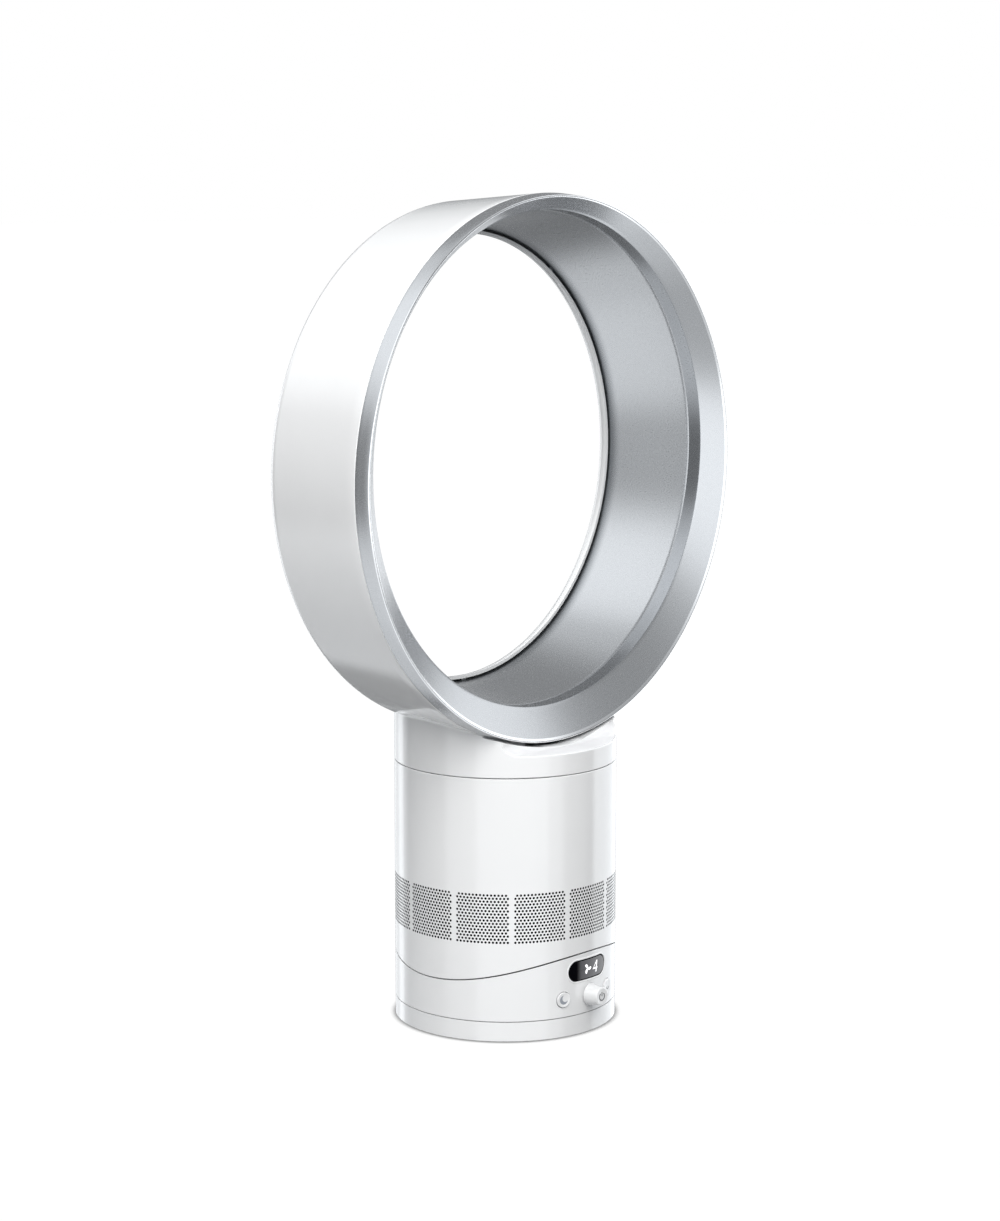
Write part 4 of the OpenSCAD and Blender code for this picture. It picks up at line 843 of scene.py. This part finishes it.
def neck_lug(lug):
    edge = 0.4
    inner = SKIRT_R - FIT
    out = SKIRT_R + LUG_OUT
    middle_angle = lug * 360 / LUG_COUNT
    angles = np.radians(np.linspace(middle_angle - LUG_ANGLE / 2, middle_angle + LUG_ANGLE / 2, 13))
    outline = [(inner, SKIRT_Z), (out - edge, SKIRT_Z), (out, SKIRT_Z + edge),
               (out, SKIRT_Z + LUG_T - edge), (out - edge, SKIRT_Z + LUG_T), (inner, SKIRT_Z + LUG_T)]
    vertices = [(r * math.cos(a), r * math.sin(a), z) for a in angles for r, z in outline]
    faces = grid_faces(len(angles), len(outline))
    faces.append(list(range(len(outline))))
    faces.append([len(vertices) - 1 - i for i in range(len(outline))])
    piece(f"neck_lug_{lug + 1}", vertices, faces, ["white_gloss"], "air_ring")


def neck_blend(side):
    """Small fillet in the corner between the neck's wall and the casing's underside."""
    end_gap = 1
    fade = 12
    least_share = 0.05
    sink = 0.04
    y = np.linspace(TRIM_JOINT + end_gap, CORNER_Y - end_gap, 120)
    x = side * np.sqrt(BODY_R ** 2 - y ** 2)
    radius = RING_R - RING_TAPER * (y - TRIM_JOINT) / (CORNER_Y - TRIM_JOINT)
    z = RING_Z - np.sqrt(radius ** 2 - x ** 2)
    wall_normal = np.stack([x, y, 0 * x], 1) / BODY_R
    casing_normal = np.stack([x, 0 * x, z - RING_Z], 1) / radius[:, None]
    reach = 1 + (wall_normal * casing_normal).sum(1, keepdims=True)
    from_end = np.minimum(y - y[0], y[-1] - y)
    size = NECK_BLEND_R * np.minimum(1, from_end / fade + least_share)[:, None]
    centre = np.stack([x, y, z], 1) + size * (wall_normal + casing_normal) / reach
    rows = []
    for share in np.linspace(0, 1, 9):
        direction = -(wall_normal * (1 - share) + casing_normal * share)
        direction /= np.linalg.norm(direction, axis=1, keepdims=True)
        rows.append(centre + size * direction)
    rows[0] = rows[0] - sink * wall_normal
    rows[-1] = rows[-1] - sink * casing_normal
    rows.append(np.stack([x, y, z], 1) - wall_normal - casing_normal)
    name = "neck_blend_right" if side > 0 else "neck_blend_left"
    faces = grid_faces(len(rows), len(y), close_rows=True, close_columns=False, flip=side < 0)
    ends = [[row * len(y) + k for row in range(len(rows))] for k in (0, len(y) - 1)]
    faces.append(ends[0] if side < 0 else ends[0][::-1])
    faces.append(ends[1][::-1] if side < 0 else ends[1])
    piece(name, np.concatenate(rows), faces, ["white_gloss"], "air_ring", angle=50)


# Controls
def out_of_wall(angle):
    """Directions to the right and out of the front wall, at an angle from the middle."""
    a = math.radians(angle)
    return np.array([math.cos(a), math.sin(a), 0]), np.array([math.sin(a), -math.cos(a), 0])


def turned_front(name, profile, angle, z, body, replaces, steps=96):
    """A turned piece whose axis points out of the wall; the profile has (radius, distance)."""
    right, out = out_of_wall(angle)
    t = np.linspace(0, 2 * math.pi, steps, endpoint=False)
    rows = []
    for r, distance in profile:
        points = np.outer(r * np.cos(t), right) + distance * out
        points[:, Z] = z + r * np.sin(t)
        rows.append(points)
    faces = grid_faces(len(profile), steps, flip=True)
    last = (len(profile) - 1) * steps
    faces.append([last + i for i in range(steps)][::-1])
    faces.append(list(range(steps)))
    piece(name, np.concatenate(rows), faces, ["white_gloss"], body, replaces, angle=50)


def dial():
    edge = 0.7
    foot = 0.35
    dish = 0.15
    rim_in = 1.4
    dish_in = 1.7
    inner_y = -high("dial_knob", Y)
    profile = [(DIAL_STEM_R, inner_y), (DIAL_STEM_R, DIAL_Y0)]
    profile += arc(DIAL_R0 - foot, DIAL_Y0 + foot, foot, -90, 0, 4)
    profile += between((DIAL_R0, DIAL_Y0 + foot), (DIAL_R1, DIAL_Y1 - edge), 3)
    profile += arc(DIAL_R1 - edge, DIAL_Y1 - edge, edge, 0, 90, 6)
    profile += [(DIAL_R1 - rim_in, DIAL_Y1), (DIAL_R1 - dish_in, DIAL_Y1 - dish)]
    profile += [(DIAL_R1 / 2, DIAL_Y1 - dish), (DIAL_R1 / 6, DIAL_Y1 - dish)]
    turned_front("dial_knob_turned", profile, 0, DIAL_Z, "dial_turn", ["dial_knob"])


def push_button(side, name, body, replaced):
    """Shallow cap with a rounded edge and a slightly dished face."""
    edge = 0.35
    dish = 0.22
    rim_in = 0.9
    inward = 1
    profile = [(BUTTON_R, INNER_R - inward), (BUTTON_R, BUTTON_TOP - edge)]
    profile += arc(BUTTON_R - edge, BUTTON_TOP - edge, edge, 0, 90, 5)
    profile += [(BUTTON_R - rim_in, BUTTON_TOP)]
    profile += [(r * BUTTON_R, BUTTON_TOP - dish * (1 - r * r) ** 0.5) for r in (0.72, 0.6, 0.4, 0.15)]
    turned_front(name, profile, side * BUTTON_ANGLE, BUTTON_Z, body, [replaced])


def stadium(grow, steps=24):
    """Outline of the window, grown outward, as places (right, up) from its middle."""
    r = WINDOW_H / 2 + grow
    side = (WINDOW_W - WINDOW_H) / 2
    turn = np.linspace(-90, 90, steps + 1)
    right = [(side + r * math.cos(math.radians(a)), r * math.sin(math.radians(a))) for a in turn]
    straight = [(side * (1 - k / 6), r) for k in range(1, 12)]
    left = [(-u, -v) for u, v in right]
    return right + straight + left + [(-u, -v) for u, v in straight]


def on_wall(places, r):
    """Wraps places (right, up) of the window onto an upright cylinder."""
    return [(r * math.sin(u / BODY_R), -r * math.cos(u / BODY_R), WINDOW_Z + v) for u, v in places]


def window_lens():
    """Smoked lens that follows the wall, with a thin rounded edge."""
    face_r = BODY_R - FIT
    edge = 0.3
    hub = 0.05
    rings = [(-WINDOW_H / 2 + hub, INNER_R), (-FIT, INNER_R)]
    rings += [(-FIT - edge * (1 - math.cos(a)), face_r - edge * (1 - math.sin(a)))
              for a in np.radians(np.linspace(0, 90, 5))]
    border = len(rings)
    rings += [(-WINDOW_H / 2 * share, face_r) for share in (0.12, 0.4, 0.6, 0.8, 0.99)]
    vertices = [p for grow, r in rings for p in on_wall(stadium(grow), r)]
    faces = grid_faces(len(rings), len(stadium(0)), close_rows=True)
    finish = np.zeros(len(faces), np.int32)
    # The lens's sides in the opening are painted black as shade
    finish[:border * len(stadium(0))] = 1
    piece("display_window_lens", vertices, faces, ["black_window", "deep_black"], "control_base",
          ["display_window"], finish, angle=40)


def window_bezel():
    """Fine rounded lip of the shell around the window."""
    lip = 0.55
    hair_gap = 0.02
    rings = [(lip + lip * math.cos(a), BODY_R + 0.5 * lip * math.sin(a))
             for a in np.radians(np.linspace(0, 180, 9))]
    rings += [(hair_gap, BODY_R - lip), (2 * lip, BODY_R - lip)]
    vertices = [p for grow, r in rings for p in on_wall(stadium(grow), r)]
    faces = grid_faces(len(rings), len(stadium(0)), close_rows=True, flip=True)
    piece("window_bezel", vertices, faces, ["white_gloss"], "control_base", angle=60)


# Generic symbols
def bar(start, end, width):
    """A straight stroke as a quad."""
    start, end = np.array(start, float), np.array(end, float)
    along = (end - start) / np.linalg.norm(end - start)
    across = np.array([-along[1], along[0]]) * width / 2
    return [tuple(start - across), tuple(end - across), tuple(end + across), tuple(start + across)]


def bow(r, start, end, width, steps=24):
    """A curved stroke around the symbol's middle."""
    angles = np.radians(np.linspace(start, end, steps + 1))
    outer = [((r + width / 2) * math.cos(a), (r + width / 2) * math.sin(a)) for a in angles]
    inner = [((r - width / 2) * math.cos(a), (r - width / 2) * math.sin(a)) for a in angles]
    return outer + inner[::-1]


def power_symbol(size):
    stroke = size * 0.28
    return [bow(size, 125, 415, stroke), bar((0, size * 0.1), (0, size * 1.25), stroke)]


def crescent(size):
    """Moon whose horns point up and to the right."""
    inner_r = size * 0.78
    shift = size * 0.5
    lean = 38
    meet = math.degrees(math.acos((size ** 2 + shift ** 2 - inner_r ** 2) / (2 * size * shift)))
    inner_meet = math.degrees(math.asin(size * math.sin(math.radians(meet)) / inner_r))
    if shift > size * math.cos(math.radians(meet)):
        inner_meet = 180 - inner_meet
    outer = np.radians(np.linspace(meet, 360 - meet, 40) + lean)
    inner = np.radians(np.linspace(360 - inner_meet, inner_meet, 30) + lean)
    outline = [(size * math.cos(a), size * math.sin(a)) for a in outer]
    u = shift * math.cos(math.radians(lean))
    v = shift * math.sin(math.radians(lean))
    outline += [(u + inner_r * math.cos(a), v + inner_r * math.sin(a)) for a in inner[1:-1]]
    return [outline]


def fan_symbol(size):
    """Three swept lobes around a hub."""
    lobes = 3
    hub_share = 0.1
    sweep = 0.45
    lean = math.radians(100)
    steps = 120
    outline = []
    for k in range(steps):
        turn = 2 * math.pi * k / steps
        reach = abs(math.cos(lobes / 2 * turn)) ** 2
        r = size * (hub_share + (1 - hub_share) * reach)
        a = turn + sweep * r / size + lean
        outline.append((r * math.cos(a), r * math.sin(a)))
    return [outline]


def digit_four(size):
    """The number 4, leaning slightly, as four strokes that meet without overlapping."""
    stroke = size * 0.27
    cross = -size * 0.42
    stem = size * 0.28
    left = -0.62 * size
    notch = -0.36 * size
    right = 0.72 * size
    shoulder = 0.62 * size
    lean = 0.14
    parts = [
        [(stem, -size), (stem + stroke, -size), (stem + stroke, size), (stem, size)],
        [(left, cross), (stem, cross), (stem, cross + stroke), (notch, cross + stroke)],
        [(left, cross), (notch, cross + stroke), (stem, shoulder), (stem, size)],
        [(stem + stroke, cross), (right, cross), (right, cross + stroke),
         (stem + stroke, cross + stroke)],
    ]
    return [[(u + lean * v, v) for u, v in part] for part in parts]


def sway_symbol(size):
    """Arrow that swings to both sides."""
    stroke = size * 0.26
    tip_out = size * 0.1
    tip_up = size * 0.55
    inner_r = size * 0.55
    outer_r = size * 1.45
    ends = (215, 325)
    parts = [bow(size, *ends, stroke)]
    for side, angle in zip((-1, 1), ends):
        a = math.radians(angle)
        tip = (size * math.cos(a) - side * tip_out, size * math.sin(a) + tip_up)
        inner = (inner_r * math.cos(a), inner_r * math.sin(a))
        outer = (outer_r * math.cos(a), outer_r * math.sin(a))
        parts.append([inner, outer, tip] if side > 0 else [outer, inner, tip])
    return parts


def symbol(name, parts, to_space, finish, body, slot):
    """A thin raised print; to_space places a point (right, up, lift)."""
    thickness = 0.05
    vertices, faces = [], []
    for outline in parts:
        count = len(outline)
        start = len(vertices)
        vertices += [to_space(u, v, 0) for u, v in outline]
        vertices += [to_space(u, v, thickness) for u, v in outline]
        faces.append([start + count + k for k in range(count)])
        faces.append([start + k for k in range(count)][::-1])
        for k in range(count):
            k2 = (k + 1) % count
            faces.append((start + k, start + k2, start + count + k2, start + count + k))
    piece(name, vertices, faces, [finish], body, slot=slot)


def on_front(angle, z, distance):
    """Placing on a flat face whose axis points out of the wall at an angle."""
    right, out = out_of_wall(angle)

    def to_space(u, v, lift):
        x, y, _ = right * u + out * (distance + lift)
        return (x, y, z + v)
    return to_space


def on_window(centre):
    """Placing on the window's curved face, with the symbol's middle at a distance to the right."""
    clearance = 0.02

    def to_space(u, v, lift):
        return on_wall([(centre + u, v)], BODY_R - FIT + clearance + lift)[0]
    return to_space


def symbols():
    dial_face = DIAL_Y1 - 0.16
    button_face = BUTTON_TOP - 0.2
    fan_u = -1.4
    digit_u = 6.4
    symbol("power_symbol", power_symbol(size=2.5), on_front(0, DIAL_Z, dial_face), "icon_grey",
           "dial_turn", "white_gloss")
    symbol("crescent_symbol", crescent(size=3.0), on_front(-BUTTON_ANGLE, BUTTON_Z, button_face),
           "icon_pale", "left_button", "white_gloss")
    symbol("sway_symbol", sway_symbol(size=1.9), on_front(BUTTON_ANGLE, BUTTON_Z, button_face),
           "icon_grey", "right_button", "white_gloss")
    symbol("fan_symbol", fan_symbol(size=3.6), on_window(fan_u), "icon_white", "control_base",
           "black_window")
    symbol("digit_four", digit_four(size=3.9), on_window(digit_u), "icon_white", "control_base",
           "black_window")


# CAD nodes that stay get the finish of their material slot
def dress_nodes():
    for cad_object in NODES.values():
        slots = cad_object.data.materials
        for k, old in enumerate(slots):
            slots[k] = FINISH[old.name.split(".")[0]]


# Studio, in metres
CAMERA_PLACE = (-1.3668, -1.2225, 0.5487)
CAMERA_TILT = 81.40
CAMERA_TURN = -48.08
CAMERA_LENS = 83.09
SENSOR_HEIGHT = 36

# Levels at which a white surface renders about as it is written
ROOM_LEVEL = 1.05
LEAST_LEVEL = 0.03
DIFFUSE_LOW = 0.22
DIFFUSE_HIGH = 0.98
DIFFUSE_START = -0.2
FILL_COLOUR = (0.965, 0.993, 1.02)
KEY_COLOUR = (1.0, 0.99, 0.973)
WHITE = (1, 1, 1)

# Soft boxes and flags that only glossy surfaces reflect: azimuth from and to and elevation from and
# to, in degrees from the front; the level that each adds to the room's; the width of its soft edge
ZONES = {
    "front_box": ((-78, -3, -22, 25), 0.75, 2.5),
    "high_left_box": ((-165, -98, 28, 68), 0.57, 7),
    "low_left_box": ((-145, -98, -70, -24), 0.22, 7),
    "behind_flag": ((120, 166, -60, 58), -0.77, 5),
    "back_box": ((141, 190, -24, 6), 0.8, 3),
    "left_flag": ((-172, -112, -17, 18), -0.8, 5),
    "high_front_flag": ((-20, 55, 27, 62), -0.75, 8),
    "low_front_flag": ((-40, 24, -66, -26), -0.4, 8),
    "right_box": ((56, 112, -70, 30), 0.52, 4),
    "right_back_box": ((104, 128, -34, 14), 0.32, 3),
    "right_front_flag": ((14, 56, -24, 24), -0.95, 5),
    "top_box": ((-190, 190, 64, 100), -0.5, 8),
}


def camera():
    data = bpy.data.cameras.new("camera")
    data.sensor_fit = "VERTICAL"
    data.sensor_height = SENSOR_HEIGHT
    data.lens = CAMERA_LENS
    cam = add_object("camera", data)
    cam.location = CAMERA_PLACE
    cam.rotation_euler = (math.radians(CAMERA_TILT), 0, math.radians(CAMERA_TURN))
    bpy.context.scene.camera = cam


def zone(tree, azimuth, elevation, box, soft):
    """1 inside a box of directions, 0 outside, with soft edges."""
    a0, a1, e0, e1 = box
    mask = remap(tree, azimuth, a0 - soft, a0 + soft, smooth=True)
    mask = maths(tree, "MULTIPLY", mask, remap(tree, azimuth, a1 + soft, a1 - soft, smooth=True))
    mask = maths(tree, "MULTIPLY", mask, remap(tree, elevation, e0 - soft, e0 + soft, smooth=True))
    return maths(tree, "MULTIPLY", mask, remap(tree, elevation, e1 + soft, e1 - soft, smooth=True))


def reflected_level(tree, x, y, z):
    """What glossy surfaces see in a direction: the plain room with its soft boxes and flags."""
    degrees = 180 / math.pi
    turn = maths(tree, "ARCTAN2", x, maths(tree, "MULTIPLY", y, -1.0))
    azimuth = maths(tree, "MULTIPLY", turn, degrees)
    elevation = maths(tree, "MULTIPLY", maths(tree, "ARCSINE", z), degrees)
    level = ROOM_LEVEL
    for box, change, soft in ZONES.values():
        part = maths(tree, "MULTIPLY", zone(tree, azimuth, elevation, box, soft), change)
        level = maths(tree, "ADD", level, part)
    return maths(tree, "MAXIMUM", level, LEAST_LEVEL)


def world():
    """White to the camera, brighter above than below for matte light, and zoned for gloss."""
    data = bpy.data.worlds.new("studio")
    bpy.context.scene.world = data
    data.use_nodes = True
    tree = data.node_tree
    background = tree.nodes["Background"]
    coordinate = node(tree, "ShaderNodeTexCoord")
    direction = node(tree, "ShaderNodeSeparateXYZ", Vector=coordinate.outputs["Generated"])
    x, y, z = direction.outputs
    glossy = reflected_level(tree, x, y, z)
    diffuse = remap(tree, z, DIFFUSE_START, 1.0, DIFFUSE_LOW, DIFFUSE_HIGH)
    path = node(tree, "ShaderNodeLightPath")
    is_diffuse = path.outputs["Is Diffuse Ray"]
    is_glossy = path.outputs["Is Glossy Ray"]
    seen = maths(tree, "SUBTRACT", maths(tree, "SUBTRACT", 1.0, is_diffuse), is_glossy)
    level = maths(tree, "ADD", maths(tree, "MULTIPLY", is_diffuse, diffuse),
                  maths(tree, "MULTIPLY", is_glossy, glossy))
    level = maths(tree, "ADD", level, seen)
    tree.links.new(level, background.inputs["Strength"])
    colour = mix_colour(tree, path.outputs["Is Camera Ray"], FILL_COLOUR, WHITE)
    tree.links.new(colour, background.inputs["Color"])


def area(name, azimuth, elevation, distance, size, level, colour=WHITE):
    """A square soft light, whose level is that of a white surface facing it."""
    data = bpy.data.lights.new(name, "AREA")
    data.shape = "SQUARE"
    data.size = size
    data.color = colour
    data.energy = level * math.pi ** 2 * distance ** 2
    lamp = add_object(name, data)
    a, e = math.radians(azimuth), math.radians(elevation)
    direction = Vector((math.sin(a) * math.cos(e), -math.cos(a) * math.cos(e), math.sin(e)))
    target = Vector((0, 0, RING_Z * MM))
    lamp.location = target + direction * distance
    lamp.rotation_euler = (-direction).to_track_quat("-Z", "Y").to_euler()
    lamp.visible_glossy = False


def lights():
    area("key", azimuth=-46, elevation=38, distance=2.2, size=1.6, level=0.94, colour=KEY_COLOUR)
    area("top_back", azimuth=150, elevation=50, distance=2.4, size=1.8, level=0.36)
    area("high_front", azimuth=20, elevation=60, distance=2.4, size=1.4, level=0.02)


def floor_material():
    """White to the camera, with shade close under the object, and dim for other light."""
    matte_colour = (0.25, 0.25, 0.25, 1)
    catcher_colour = (0.03, 0.03, 0.03, 1)
    shade_distance = 0.007
    open_range = (0.5, 0.8)
    glow_range = (0.30, 0.985)
    m = bpy.data.materials.new("pale_floor")
    m.use_nodes = True
    tree = m.node_tree
    tree.nodes.remove(tree.nodes["Principled BSDF"])
    path = node(tree, "ShaderNodeLightPath")
    matte = node(tree, "ShaderNodeBsdfDiffuse", Color=matte_colour)
    shade = node(tree, "ShaderNodeAmbientOcclusion", Distance=shade_distance, samples=8)
    strength = remap(tree, shade.outputs["AO"], *open_range, *glow_range)
    glow = node(tree, "ShaderNodeEmission", Color=(*WHITE, 1), Strength=strength)
    catcher = node(tree, "ShaderNodeBsdfDiffuse", Color=catcher_colour)
    seen = node(tree, "ShaderNodeAddShader")
    tree.links.new(catcher.outputs[0], seen.inputs[0])
    tree.links.new(glow.outputs[0], seen.inputs[1])
    mixed = tree.nodes.new("ShaderNodeMixShader")
    tree.links.new(path.outputs["Is Camera Ray"], mixed.inputs[0])
    tree.links.new(matte.outputs[0], mixed.inputs[1])
    tree.links.new(seen.outputs[0], mixed.inputs[2])
    tree.links.new(mixed.outputs[0], tree.nodes["Material Output"].inputs["Surface"])
    return m


def floor():
    side = 30
    corners = [(-side, -side, 0), (side, -side, 0), (side, side, 0), (-side, side, 0)]
    data = bpy.data.meshes.new("floor")
    data.from_pydata(corners, [], [(0, 1, 2, 3)])
    data.materials.append(floor_material())
    ground = add_object("floor", data)
    ground.visible_glossy = False


camera()
bpy.context.scene.view_settings.view_transform = "Standard"
world()
lights()
floor()
dress_nodes()
rear_casing()
front_trim()
coanda()
body_casing()
dust_screen()
neck_collar()
neck_skirt()
neck_blend(-1)
neck_blend(1)
window_lens()
window_bezel()
dial()
push_button(-1, "sleep_button_cap", "left_button", "sleep_button")
push_button(1, "swing_button_cap", "right_button", "swing_button")
symbols()
